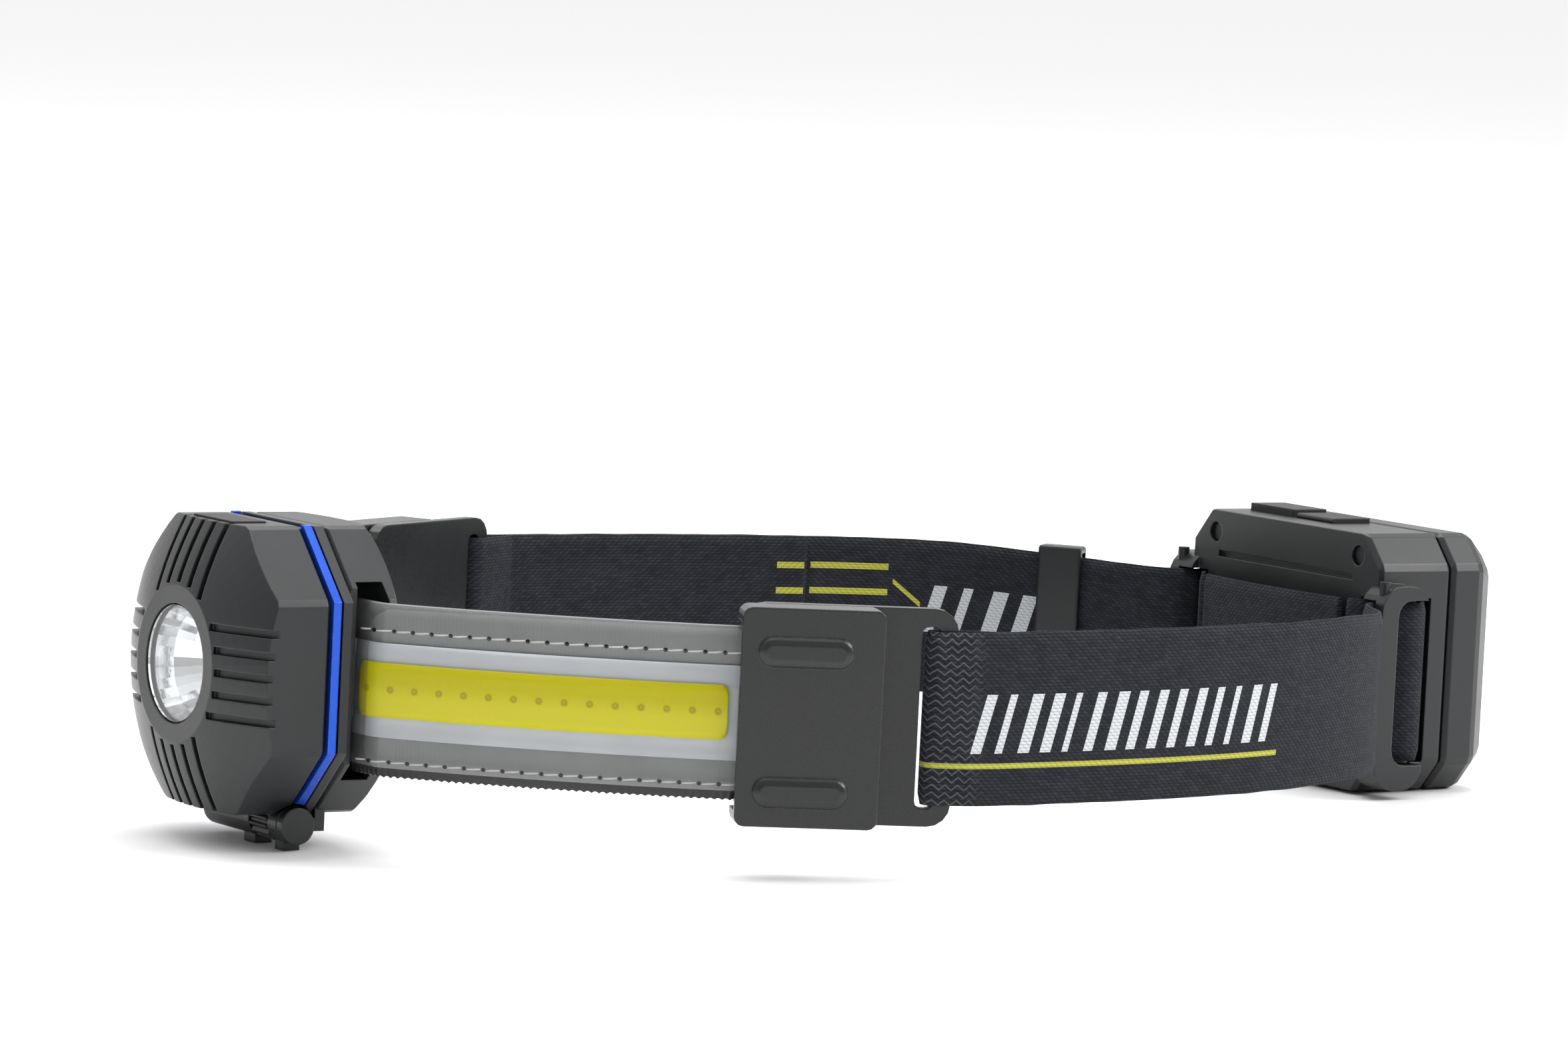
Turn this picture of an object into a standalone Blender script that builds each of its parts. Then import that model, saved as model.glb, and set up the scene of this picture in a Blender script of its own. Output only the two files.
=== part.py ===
"""Headlamp: a tilting lamp on a bracket, two flexible light bars, an elastic band and a rear battery box.

Frame: +Z is up, the lamp shines along -Y and the wearer's left is at +X. The band loop is
modelled level, and one parent empty leans the whole headlamp back until it stands on the foot
of its hinge and on the lower rear edge of its battery box.
"""

import math

import bmesh
import bpy
from mathutils import Matrix, Vector

MM = 0.001
GAP = 0.3 * MM
SIDES = (("left", 1), ("right", -1))

# Band loop in plan: two superellipse halves that meet at the widest point.
LOOP_HALF_WIDTH = 82 * MM
LOOP_CENTRE_Y = -2 * MM
LOOP_FRONT_DEPTH = 99 * MM
LOOP_FRONT_POWER = 1.42
LOOP_REAR_DEPTH = 122 * MM
LOOP_REAR_POWER = 2.6
BAND_HEIGHT = 29.6 * MM

# Lamp: an octagon with a domed face, round an axis a little above the band's middle.
LAMP_FRONT_Y = -112 * MM
LAMP_Z = 1.8 * MM
LAMP_HALF = 24.6 * MM
LAMP_FLAT = 12.8 * MM
LAMP_WALL = 2 * MM
DOME_FLAT_RADIUS = 13.5 * MM
DOME_RADIUS = 47 * MM
LENS_OPENING = 10.3 * MM
SHELL_DEPTH = 16.4 * MM
RING_WIDTH = 1.5 * MM
COVER_FRONT = 18.7 * MM
COVER_BACK = 20.5 * MM
GROOVE_PITCH = 3.75 * MM
GROOVE_WIDTH = 1.3 * MM
GROOVE_DEPTH = 1.0 * MM

# Tilt hinge, along X under the back of the lamp.
HINGE_Y = -95.2 * MM
HINGE_Z = -24.6 * MM
KNUCKLE_RADIUS = 3.2 * MM
HINGE_FOOT_Z = -29.0 * MM
PIN_RADIUS = 1.0 * MM
PIN_HOLE = 1.3 * MM

# Bracket behind the lamp, octagonal in front and round behind.
BRACKET_FRONT = 20.8 * MM
BRACKET_BACK = 31.5 * MM
BRACKET_CAVITY = 17.4 * MM

# Light bar layers, measured outwards from the loop line.
BACKING = (-1.6 * MM, -0.4 * MM)
SUBSTRATE = (-0.1 * MM, 0.4 * MM)
PHOSPHOR = (0.7 * MM, 1.1 * MM)
FILM = (1.4 * MM, 1.7 * MM)
BAR_START = 30.5 * MM
BAR_END = 111 * MM

# Buckle, from the light bar to the elastic band.
LID_START = 91.2 * MM
LID_END = 115.4 * MM
PLATE_END = 128.8 * MM
SLOT_START = 122.6 * MM
SLOT_END = 125.8 * MM
BUCKLE_HEIGHT = 37 * MM

# Battery box, an octagon whose depth runs along Y.
BOX_FRONT_Y = 122.4 * MM
BOX_SPLIT_Y = 138.9 * MM
BOX_COVER_Y = 139.3 * MM
BOX_BACK_Y = 151.2 * MM
BOX_SLOPE = 5.0 * MM
BOX_HALF = 29.5 * MM
BOX_TOP_Z = 24.8 * MM
BOX_BOTTOM_Z = -23.2 * MM
BOX_WALL = 2 * MM
WINDOW_Z = -2.0 * MM
WINDOW_HEIGHT = 30.6 * MM
STRAP_THICKNESS = 1.3 * MM


# ---------------------------------------------------------------- materials and collections

FINISHES = {
    "housing": ((0.045, 0.048, 0.052), 0.55, 0.0),
    "ring_blue": ((0.03, 0.13, 0.62), 0.3, 0.9),
    "reflector": ((0.9, 0.9, 0.92), 0.08, 1.0),
    "clear": ((0.92, 0.95, 0.97), 0.05, 0.0),
    "rubber": ((0.03, 0.03, 0.032), 0.8, 0.0),
    "metal": ((0.6, 0.6, 0.62), 0.35, 1.0),
    "aluminium": ((0.75, 0.75, 0.77), 0.4, 1.0),
    "board": ((0.02, 0.16, 0.07), 0.5, 0.0),
    "white": ((0.8, 0.82, 0.84), 0.4, 0.0),
    "phosphor": ((0.72, 0.66, 0.05), 0.4, 0.0),
    "knit": ((0.05, 0.055, 0.065), 0.95, 0.0),
    "foam": ((0.04, 0.04, 0.042), 0.95, 0.0),
    "cell": ((0.45, 0.47, 0.5), 0.45, 0.2),
}


def clear_scene():
    for obj in list(bpy.data.objects):
        bpy.data.objects.remove(obj, do_unlink=True)


def new_collection(name):
    collection = bpy.data.collections.new(name)
    bpy.context.scene.collection.children.link(collection)
    return collection


def make_material(name):
    colour, roughness, metallic = FINISHES[name]
    material = bpy.data.materials.new(name)
    material.use_nodes = True
    shader = material.node_tree.nodes["Principled BSDF"]
    shader.inputs["Base Color"].default_value = (*colour, 1)
    shader.inputs["Roughness"].default_value = roughness
    shader.inputs["Metallic"].default_value = metallic
    material.diffuse_color = (*colour, 1)
    return material


clear_scene()
PARTS = new_collection("headlamp")
CUTTERS = new_collection("cutters")
MATERIALS = {name: make_material(name) for name in FINISHES}


# ---------------------------------------------------------------- shape helpers

def add_part(name, mesh, finish, parent, location=(0, 0, 0), rotation=(0, 0, 0)):
    """Put a mesh in the headlamp's collection as one named piece."""
    obj = bpy.data.objects.new(name, mesh)
    obj.parent = parent
    obj.location = location
    obj.rotation_euler = rotation
    if finish is None:
        CUTTERS.objects.link(obj)
        obj.hide_render = True
        obj.display_type = "WIRE"
    else:
        PARTS.objects.link(obj)
        mesh.materials.append(MATERIALS[finish])
    return obj


def mesh_from_bmesh(name, bm):
    bmesh.ops.recalc_face_normals(bm, faces=bm.faces)
    mesh = bpy.data.meshes.new(name)
    bm.to_mesh(mesh)
    bm.free()
    return mesh


def block_mesh(name, low, high):
    """Box between two corners."""
    bm = bmesh.new()
    bmesh.ops.create_cube(bm, size=1)
    size = Vector(high) - Vector(low)
    middle = (Vector(high) + Vector(low)) / 2
    bmesh.ops.scale(bm, vec=size, verts=bm.verts)
    bmesh.ops.translate(bm, vec=middle, verts=bm.verts)
    return mesh_from_bmesh(name, bm)


def rod_mesh(name, radius, start, end, segments=32, axis="Z", centre=(0, 0)):
    """Cylinder from start to end along an axis; centre is its place across that axis."""
    bm = bmesh.new()
    bmesh.ops.create_cone(
        bm, cap_ends=True, segments=segments, radius1=radius, radius2=radius, depth=end - start)
    bmesh.ops.translate(bm, vec=(0, 0, (start + end) / 2), verts=bm.verts)
    if axis == "X":
        turn = Matrix.Rotation(math.pi / 2, 3, "Y")
        bmesh.ops.rotate(bm, matrix=turn, verts=bm.verts)
        bmesh.ops.translate(bm, vec=(0, centre[0], centre[1]), verts=bm.verts)
    else:
        bmesh.ops.translate(bm, vec=(centre[0], centre[1], 0), verts=bm.verts)
    return mesh_from_bmesh(name, bm)


def outline_mesh(name, outline, low, high):
    """Flat outline in XY with straight sides from low to high."""
    curve = bpy.data.curves.new(name, "CURVE")
    curve.dimensions = "2D"
    curve.fill_mode = "BOTH"
    curve.extrude = (high - low) / 2
    spline = curve.splines.new("POLY")
    spline.points.add(len(outline) - 1)
    for point, (x, y) in zip(spline.points, outline):
        point.co = (x, y, 0, 1)
    spline.use_cyclic_u = True
    mesh = mesh_from_curve(name, curve)
    mesh.transform(Matrix.Translation((0, 0, (low + high) / 2)))
    return mesh


def mesh_from_curve(name, curve):
    """Evaluated mesh of a curve, with its caps welded on."""
    holder = bpy.data.objects.new(name + "_curve", curve)
    bpy.context.scene.collection.objects.link(holder)
    depsgraph = bpy.context.evaluated_depsgraph_get()
    raw = bpy.data.meshes.new_from_object(holder.evaluated_get(depsgraph))
    bpy.data.objects.remove(holder, do_unlink=True)
    bm = bmesh.new()
    bm.from_mesh(raw)
    bmesh.ops.remove_doubles(bm, verts=bm.verts, dist=0.01 * MM)
    return mesh_from_bmesh(name, bm)


def loft_mesh(name, rings):
    """Closed solid through rings of equal length, capped at both ends."""
    bm = bmesh.new()
    loops = [[bm.verts.new(point) for point in ring] for ring in rings]
    count = len(loops[0])
    for lower, upper in zip(loops, loops[1:]):
        for i in range(count):
            j = (i + 1) % count
            bm.faces.new((lower[i], lower[j], upper[j], upper[i]))
    bm.faces.new(loops[0])
    bm.faces.new(loops[-1])
    return mesh_from_bmesh(name, bm)


def turned(obj, steps):
    """Turn a profile mesh in XZ once round Z."""
    screw = obj.modifiers.new("turn", "SCREW")
    screw.axis = "Z"
    screw.steps = steps
    screw.render_steps = steps
    screw.use_merge_vertices = True
    screw.merge_threshold = 0.00001
    return obj


def profile_mesh(name, points, closed=False):
    """Profile in the XZ plane for turning; points are (radius, height)."""
    mesh = bpy.data.meshes.new(name)
    edges = [(i, i + 1) for i in range(len(points) - 1)]
    if closed:
        edges.append((len(points) - 1, 0))
    mesh.from_pydata([(r, 0, h) for r, h in points], edges, [])
    return mesh


def boolean(obj, tool, operation):
    step = obj.modifiers.new(operation.lower(), "BOOLEAN")
    step.operation = operation
    step.solver = "EXACT"
    step.object = tool


def cut(obj, mesh):
    """Cut a tool mesh, given in the piece's own frame, out of the piece."""
    tool = add_part(obj.name + "_cut", mesh, None, obj.parent, obj.location, obj.rotation_euler)
    boolean(obj, tool, "DIFFERENCE")


def join(obj, mesh):
    """Join a tool mesh, given in the piece's own frame, to the piece."""
    tool = add_part(obj.name + "_join", mesh, None, obj.parent, obj.location, obj.rotation_euler)
    boolean(obj, tool, "UNION")


def merged_mesh(name, meshes):
    """One mesh that holds several separate closed shapes."""
    bm = bmesh.new()
    for mesh in meshes:
        bm.from_mesh(mesh)
    return mesh_from_bmesh(name, bm)


def soften(obj, width, segments=2, angle=40):
    bevel = obj.modifiers.new("edges", "BEVEL")
    bevel.width = width
    bevel.segments = segments
    bevel.limit_method = "ANGLE"
    bevel.angle_limit = math.radians(angle)


def mirror_x(mesh, side):
    if side < 0:
        mesh.transform(Matrix.Diagonal((-1, 1, 1, 1)))
        mesh.flip_normals()
    return mesh


def octagon(half_w, half_h, flat_w, flat_h, centre_y=0.0):
    """Eight corners of a rectangle with its corners cut off."""
    return [
        (flat_w, centre_y - half_h), (half_w, centre_y - flat_h),
        (half_w, centre_y + flat_h), (flat_w, centre_y + half_h),
        (-flat_w, centre_y + half_h), (-half_w, centre_y + flat_h),
        (-half_w, centre_y - flat_h), (-flat_w, centre_y - half_h)]


def lamp_octagon(inset=0.0):
    """The lamp's outline, moved inwards by inset on every side."""
    half = LAMP_HALF - inset
    flat = LAMP_FLAT - inset * math.tan(math.radians(22.5))
    return octagon(half, half, flat, flat)


def rounded_rectangle(width, height, radius, steps=4, centre=(0, 0)):
    points = []
    for quarter in range(4):
        sx = 1 if quarter in (0, 3) else -1
        sy = 1 if quarter in (0, 1) else -1
        for k in range(steps + 1):
            angle = math.pi / 2 * (quarter + k / steps)
            x = sx * (width / 2 - radius) + radius * math.cos(angle)
            y = sy * (height / 2 - radius) + radius * math.sin(angle)
            points.append((centre[0] + x, centre[1] + y))
    return points


# ---------------------------------------------------------------- the loop line

def trace_loop(count=1200):
    """Fine points along the left half of the loop, from front to back, with their lengths."""
    points = []
    for k in range(count + 1):
        u = -math.cos(math.pi * k / count)
        depth, power = (LOOP_FRONT_DEPTH, LOOP_FRONT_POWER) if u < 0 else (LOOP_REAR_DEPTH, LOOP_REAR_POWER)
        x = LOOP_HALF_WIDTH * max(0.0, 1 - abs(u) ** power) ** (1 / power)
        points.append(Vector((x, LOOP_CENTRE_Y + depth * u)))
    lengths = [0.0]
    for a, b in zip(points, points[1:]):
        lengths.append(lengths[-1] + (b - a).length)
    return points, lengths


LOOP_POINTS, LOOP_LENGTHS = trace_loop()


def loop_at(s):
    """Point and unit tangent at arc length s from the front of the loop."""
    i = 1
    while i < len(LOOP_LENGTHS) - 1 and LOOP_LENGTHS[i] < s:
        i += 1
    a, b = LOOP_POINTS[i - 1], LOOP_POINTS[i]
    share = (s - LOOP_LENGTHS[i - 1]) / (LOOP_LENGTHS[i] - LOOP_LENGTHS[i - 1])
    return a.lerp(b, share), (b - a).normalized()


def loop_point(s, out):
    """Point at arc length s, moved outwards from the loop line."""
    point, tangent = loop_at(s)
    normal = Vector((tangent.y, -tangent.x))
    return point + normal * out


def offset_path(points, out):
    """Shift an open path sideways, to the outside of the loop."""
    shifted = []
    for i, point in enumerate(points):
        before = points[max(i - 1, 0)]
        after = points[min(i + 1, len(points) - 1)]
        tangent = (after - before).normalized()
        shifted.append(point + Vector((tangent.y, -tangent.x)) * out)
    return shifted


def mirrored(points, side):
    return [(side * point.x, point.y) for point in points]


def ribbon(name, points, low, high, thickness, finish, parent):
    """Upright strip that follows points in plan, as thick as thickness about that line."""
    curve = bpy.data.curves.new(name, "CURVE")
    curve.dimensions = "2D"
    curve.fill_mode = "NONE"
    curve.extrude = (high - low) / 2
    spline = curve.splines.new("POLY")
    spline.points.add(len(points) - 1)
    for point, (x, y) in zip(spline.points, points):
        point.co = (x, y, 0, 1)
    mesh = mesh_from_curve(name, curve)
    mesh.transform(Matrix.Translation((0, 0, (low + high) / 2)))
    obj = add_part(name, mesh, finish, parent)
    solid = obj.modifiers.new("thickness", "SOLIDIFY")
    solid.thickness = thickness
    solid.offset = 0
    solid.use_even_offset = True
    return obj


# ---------------------------------------------------------------- lamp head

def dome_profile():
    """Half section of the domed face and of the straight sides behind it."""
    points = [(0, 0), (DOME_FLAT_RADIUS, 0)]
    steps = 7
    reach = 30 * MM
    for k in range(1, steps + 1):
        r = DOME_FLAT_RADIUS + (reach - DOME_FLAT_RADIUS) * k / steps
        points.append((r, -(r * r - DOME_FLAT_RADIUS ** 2) / (2 * DOME_RADIUS)))
    points += [(reach, -SHELL_DEPTH - MM), (0, -SHELL_DEPTH - MM)]
    return points


def groove_cutters():
    """Five grooves in each of the four sloping faces, from the face's disc to the lamp's edge."""
    slope = math.atan2(4.6, 11.1)
    shapes = []
    for quarter in range(4):
        turn = Matrix.Rotation(quarter * math.pi / 2, 4, "Z")
        for k in range(-2, 3):
            across = k * GROOVE_PITCH
            start = math.sqrt((DOME_FLAT_RADIUS + 0.4 * MM) ** 2 - across ** 2)
            low = (0, -GROOVE_WIDTH / 2, -GROOVE_DEPTH)
            high = (16 * MM, GROOVE_WIDTH / 2, 4 * MM)
            mesh = block_mesh("groove", low, high)
            tilt = Matrix.Rotation(slope, 4, "Y")
            drop = -(start ** 2 + across ** 2 - DOME_FLAT_RADIUS ** 2) / (2 * DOME_RADIUS)
            mesh.transform(turn @ Matrix.Translation((start, across, drop)) @ tilt)
            shapes.append(mesh)
    return merged_mesh("grooves", shapes)


def hinge_notch(radius, spans):
    """Round clearance along the hinge axis, in the lamp's frame."""
    centre = (HINGE_Z - LAMP_Z, LAMP_FRONT_Y - HINGE_Y)
    return merged_mesh("notch", [
        rod_mesh("notch", radius, a, b, 24, "X", centre) for a, b in spans])


BRACKET_SPANS = ((-12.6 * MM, 3.6 * MM), (10.4 * MM, 13.4 * MM))
DRUM_SPAN = (4.0 * MM, 10.0 * MM)
SCREW_PLACES = [(x * MM, y * MM) for x in (-15.6, 15.6) for y in (-14.6, 15.2)]


def make_lamp_shell(lamp):
    mesh = outline_mesh("lamp_shell", lamp_octagon(), -SHELL_DEPTH, 0.5 * MM)
    shell = add_part("lamp_shell", mesh, "housing", *lamp)
    soften(shell, 0.7 * MM, 1, 30)
    dome = add_part("lamp_dome", profile_mesh("dome", dome_profile()), None, *lamp)
    boolean(shell, turned(dome, 64), "INTERSECT")
    cavity = outline_mesh("cavity", lamp_octagon(LAMP_WALL), -SHELL_DEPTH - MM, -7.6 * MM)
    cut(shell, cavity)
    cut(shell, rod_mesh("bore", 11.9 * MM, -8 * MM, -1.0 * MM, 48))
    cut(shell, rod_mesh("opening", LENS_OPENING, -2 * MM, 2 * MM, 48))
    cut(shell, groove_cutters())
    cut(shell, block_mesh("hatch", (-7.3 * MM, 20 * MM, -13.1 * MM), (7.3 * MM, 26 * MM, -5.9 * MM)))
    for x, y in SCREW_PLACES:
        join(shell, rod_mesh("boss", 2.5 * MM, -13.6 * MM, -7.0 * MM, 16, centre=(x, y)))
    for x, y in SCREW_PLACES:
        cut(shell, rod_mesh("pilot", 1.1 * MM, -15 * MM, -9.5 * MM, 12, centre=(x, y)))
    cut(shell, hinge_notch(KNUCKLE_RADIUS + 0.6 * MM, [(-13.2 * MM, 15.6 * MM)]))
    return shell


def make_optics(lamp):
    window = LENS_OPENING - GAP
    profile = [(0, -0.25 * MM), (window, -0.25 * MM), (window, -1.3 * MM), (11.5 * MM, -1.3 * MM),
               (11.5 * MM, -2.7 * MM), (0, -2.7 * MM)]
    turned(add_part("front_lens", profile_mesh("front_lens", profile), "clear", *lamp), 48)
    seal = [(10.9 * MM, -3.0 * MM), (11.6 * MM, -3.0 * MM), (11.6 * MM, -3.9 * MM), (10.9 * MM, -3.9 * MM)]
    turned(add_part("lens_seal", profile_mesh("lens_seal", seal, True), "rubber", *lamp), 32)
    outer = [(3.3, -12.4), (5.6, -11.2), (8.0, -8.8), (9.6, -6.0), (10.5, -3.1)]
    inner = [(10.0, -3.1), (9.0, -6.2), (7.4, -8.8), (5.2, -10.8), (2.6, -11.9), (2.6, -12.4)]
    profile = [(r * MM, h * MM) for r, h in outer[::-1] + inner[::-1]]
    turned(add_part("reflector", profile_mesh("reflector", profile, True), "reflector", *lamp), 32)
    chip = block_mesh("led_chip", (-1.7 * MM, -1.7 * MM, -13.4 * MM), (1.7 * MM, 1.7 * MM, -12.8 * MM))
    add_part("led_chip", chip, "phosphor", *lamp)
    add_part("led_board", rod_mesh("led_board", 9 * MM, -14.8 * MM, -13.7 * MM, 24), "board", *lamp)
    slug = [(0, -15.1), (9.0, -15.1), (9.0, -16.4), (6.0, -16.4), (6.0, -18.3), (0, -18.3)]
    profile = [(r * MM, h * MM) for r, h in slug]
    turned(add_part("heat_sink", profile_mesh("heat_sink", profile), "aluminium", *lamp), 24)


def make_colour_ring(lamp):
    front = -SHELL_DEPTH - GAP
    back = front - RING_WIDTH
    mesh = outline_mesh("colour_ring", lamp_octagon(-0.15 * MM), back, front)
    ring = add_part("colour_ring", mesh, "ring_blue", *lamp)
    cut(ring, outline_mesh("inside", lamp_octagon(1.8 * MM), back - MM, front + MM))
    cut(ring, block_mesh("bottom", (-13.6 * MM, -30 * MM, back - MM), (13.6 * MM, -18 * MM, front + MM)))
    cut(ring, hinge_notch(KNUCKLE_RADIUS + 0.6 * MM, [(-15.6 * MM, 15.6 * MM)]))
    cut(ring, block_mesh("top", (-12 * MM, LAMP_HALF - 0.5 * MM, back - MM), (12 * MM, 30 * MM, front + MM)))


def drum_outline(centre, teeth=14):
    """Cross-section of the click drum: a circle with shallow teeth."""
    points = []
    for k in range(teeth * 2):
        radius = KNUCKLE_RADIUS + 0.1 * MM if k % 2 else KNUCKLE_RADIUS - 0.35 * MM
        for shift in (-0.22, 0.22):
            angle = 2 * math.pi * (k + shift) / (teeth * 2)
            points.append((centre[0] + radius * math.cos(angle), centre[1] + radius * math.sin(angle)))
    return points


def drum_mesh():
    """The toothed drum, lying along X in the lamp's frame."""
    mesh = outline_mesh("drum", drum_outline((0, 0)), DRUM_SPAN[0], DRUM_SPAN[1])
    mesh.transform(Matrix.Rotation(math.pi / 2, 4, "Y"))
    mesh.transform(Matrix.Translation((0, HINGE_Z - LAMP_Z, LAMP_FRONT_Y - HINGE_Y)))
    return mesh


def make_lamp_cover(lamp):
    """Rear cover with the spigot that enters the shell and the drum that the lamp tilts on."""
    plate = outline_mesh("lamp_rear_cover", lamp_octagon(), -COVER_BACK, -COVER_FRONT)
    cover = add_part("lamp_rear_cover", plate, "housing", *lamp)
    join(cover, outline_mesh("spigot", lamp_octagon(2.3 * MM), -COVER_FRONT - 0.5 * MM, -14.4 * MM))
    cut(cover, rod_mesh("hollow", 13.5 * MM, -18.8 * MM, -10 * MM, 32))
    hinge_y = HINGE_Z - LAMP_Z
    hinge_z = LAMP_FRONT_Y - HINGE_Y
    cut(cover, hinge_notch(KNUCKLE_RADIUS + 0.6 * MM, [(-13.2 * MM, 15.6 * MM)]))
    web_low = (DRUM_SPAN[0], hinge_y, -COVER_BACK)
    web_high = (DRUM_SPAN[1], -20 * MM, -COVER_FRONT - 0.2 * MM)
    join(cover, block_mesh("web", web_low, web_high))
    join(cover, block_mesh("toe", (DRUM_SPAN[0], hinge_y - MM, -COVER_BACK),
                           (DRUM_SPAN[1], hinge_y + MM, hinge_z)))
    join(cover, drum_mesh())
    cut(cover, rod_mesh("pin_hole", PIN_HOLE, 3 * MM, 11 * MM, 20, "X", (hinge_y, hinge_z)))
    for x, y in SCREW_PLACES:
        cut(cover, rod_mesh("clear", 1.15 * MM, -22 * MM, -10 * MM, 12, centre=(x, y)))
        cut(cover, rod_mesh("sink", 2.1 * MM, -22 * MM, -19.0 * MM, 16, centre=(x, y)))


def screw_profile(head_radius, head_height, shank_radius, length, base):
    """Half section of a screw whose head starts at base and whose shank points up."""
    return [
        (0, base + length), (shank_radius, base + length), (shank_radius, base + head_height),
        (head_radius, base + head_height), (head_radius, base), (0, base)]


def make_lamp_screws(lamp):
    location, rotation = lamp[1], lamp[2]
    for number, (x, y) in enumerate(SCREW_PLACES, 1):
        name = f"lamp_screw_{number}"
        profile = screw_profile(1.8 * MM, 1.0 * MM, 0.8 * MM, 9.5 * MM, -20.3 * MM)
        place = Vector(location) + Vector((x, y, 0))
        turned(add_part(name, profile_mesh(name, profile), "metal", lamp[0], place, rotation), 12)


def make_mode_button(lamp, button_parent, button_place):
    """Push-button through the lamp's top wall, and the switch that it presses."""
    cap = block_mesh("mode_button", (-6.9 * MM, 21.6 * MM, -12.7 * MM), (6.9 * MM, 24.9 * MM, -6.3 * MM))
    cap.transform(Matrix.Translation(-Vector(button_place)))
    button = add_part("mode_button", cap, "rubber", button_parent)
    flange = block_mesh("flange", (-8.2 * MM, 21.1 * MM, -13.8 * MM), (8.2 * MM, 22.3 * MM, -8.0 * MM))
    flange.transform(Matrix.Translation(-Vector(button_place)))
    join(button, flange)
    switch = block_mesh("mode_switch", (-3 * MM, 16.4 * MM, -13 * MM), (3 * MM, 19.6 * MM, -8 * MM))
    add_part("mode_switch", switch, "metal", *lamp)


def make_lamp(stand):
    hinge = bpy.data.objects.new("lamp_hinge_axis", None)
    PARTS.objects.link(hinge)
    hinge.parent = stand
    hinge.location = (0, HINGE_Y, HINGE_Z)
    hinge.rotation_euler = (math.pi / 2, 0, 0)
    place = (0, LAMP_Z - HINGE_Z, HINGE_Y - LAMP_FRONT_Y)
    lamp = (hinge, place, (0, 0, 0))
    make_lamp_shell(lamp)
    make_optics(lamp)
    make_colour_ring(lamp)
    make_lamp_cover(lamp)
    make_lamp_screws(lamp)
    press = bpy.data.objects.new("mode_button_axis", None)
    PARTS.objects.link(press)
    press.parent = hinge
    button_place = (0, 24.9 * MM, -9.5 * MM)
    press.location = Vector(place) + Vector(button_place)
    make_mode_button(lamp, press, button_place)


# ---------------------------------------------------------------- bracket and hinge

def bracket_profile():
    """Half section of the bracket's rounded back."""
    points = [(0, -BRACKET_BACK)]
    for k in range(7):
        angle = math.pi / 2 * k / 6
        points.append((20.5 * MM + 9 * MM * math.sin(angle), -24.5 * MM - 7 * MM * math.cos(angle)))
    points += [(29.5 * MM, -BRACKET_FRONT + MM), (0, -BRACKET_FRONT + MM)]
    return points[::-1]


def bar_slot_mesh(side):
    """Slot in the bracket's side wall that a light bar leaves through."""
    inner = block_mesh("bar_slot", (10 * MM, -18.1 * MM, -27.6 * MM), (32 * MM, 15.9 * MM, -22.4 * MM))
    mouth = block_mesh("mouth", (22.4 * MM, -18.1 * MM, -26 * MM), (32 * MM, 15.9 * MM, -BRACKET_FRONT + MM))
    return mirror_x(inner, side), mirror_x(mouth, side)


def make_bracket(stand):
    location = (0, LAMP_FRONT_Y, LAMP_Z)
    rotation = (math.pi / 2, 0, 0)
    frame = (stand, location, rotation)
    mesh = outline_mesh("bracket", lamp_octagon(), -BRACKET_BACK - MM, -BRACKET_FRONT)
    bracket = add_part("bracket", mesh, "housing", *frame)
    soften(bracket, 0.7 * MM, 1, 30)
    back = add_part("bracket_back", profile_mesh("bracket_back", bracket_profile()), None, *frame)
    boolean(bracket, turned(back, 48), "INTERSECT")
    hinge_y = HINGE_Z - LAMP_Z
    hinge_z = LAMP_FRONT_Y - HINGE_Y
    foot = HINGE_FOOT_Z - LAMP_Z
    for a, b in BRACKET_SPANS:
        join(bracket, block_mesh("riser", (a, hinge_y - 1.2 * MM, -23.0 * MM), (b, -19 * MM, -21.1 * MM)))
        arm = block_mesh("arm", (a, hinge_y - 1.2 * MM, -23.0 * MM), (b, hinge_y + 1.1 * MM, hinge_z))
        join(bracket, arm)
        join(bracket, rod_mesh("knuckle", KNUCKLE_RADIUS, a, b, 28, "X", (hinge_y, hinge_z)))
        toe = max(a, b - 4.2 * MM)
        join(bracket, block_mesh("foot", (toe + 0.1 * MM, foot, hinge_z - 1.6 * MM),
                                 (b - 0.1 * MM, hinge_y, hinge_z + 1.6 * MM)))
    cut(bracket, rod_mesh("hollow", BRACKET_CAVITY, -BRACKET_BACK - 2 * MM, -22.4 * MM, 40))
    cut(bracket, rod_mesh("plate_seat", BRACKET_CAVITY + 1.2 * MM, -BRACKET_BACK - 2 * MM, -29.8 * MM, 40))
    for _, side in SIDES:
        for mesh in bar_slot_mesh(side):
            cut(bracket, mesh)
    cut(bracket, rod_mesh("pin_hole", PIN_HOLE, -11 * MM, 16 * MM, 20, "X", (hinge_y, hinge_z)))
    make_bracket_inside(frame)
    make_hinge_pin(frame, hinge_y, hinge_z)


def make_bracket_inside(frame):
    """Plate that closes the bracket behind the light bars, and the pad on the forehead."""
    plate = rod_mesh("bracket_back_plate", BRACKET_CAVITY + 0.8 * MM, -BRACKET_BACK, -30.1 * MM, 40)
    add_part("bracket_back_plate", plate, "housing", *frame)
    outline = rounded_rectangle(34 * MM, 24 * MM, 8 * MM, centre=(0, -1 * MM))
    mesh = outline_mesh("forehead_pad", outline, -36 * MM, -31.8 * MM)
    pad = add_part("forehead_pad", mesh, "foam", *frame)
    soften(pad, 1.0 * MM, 2)


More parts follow.
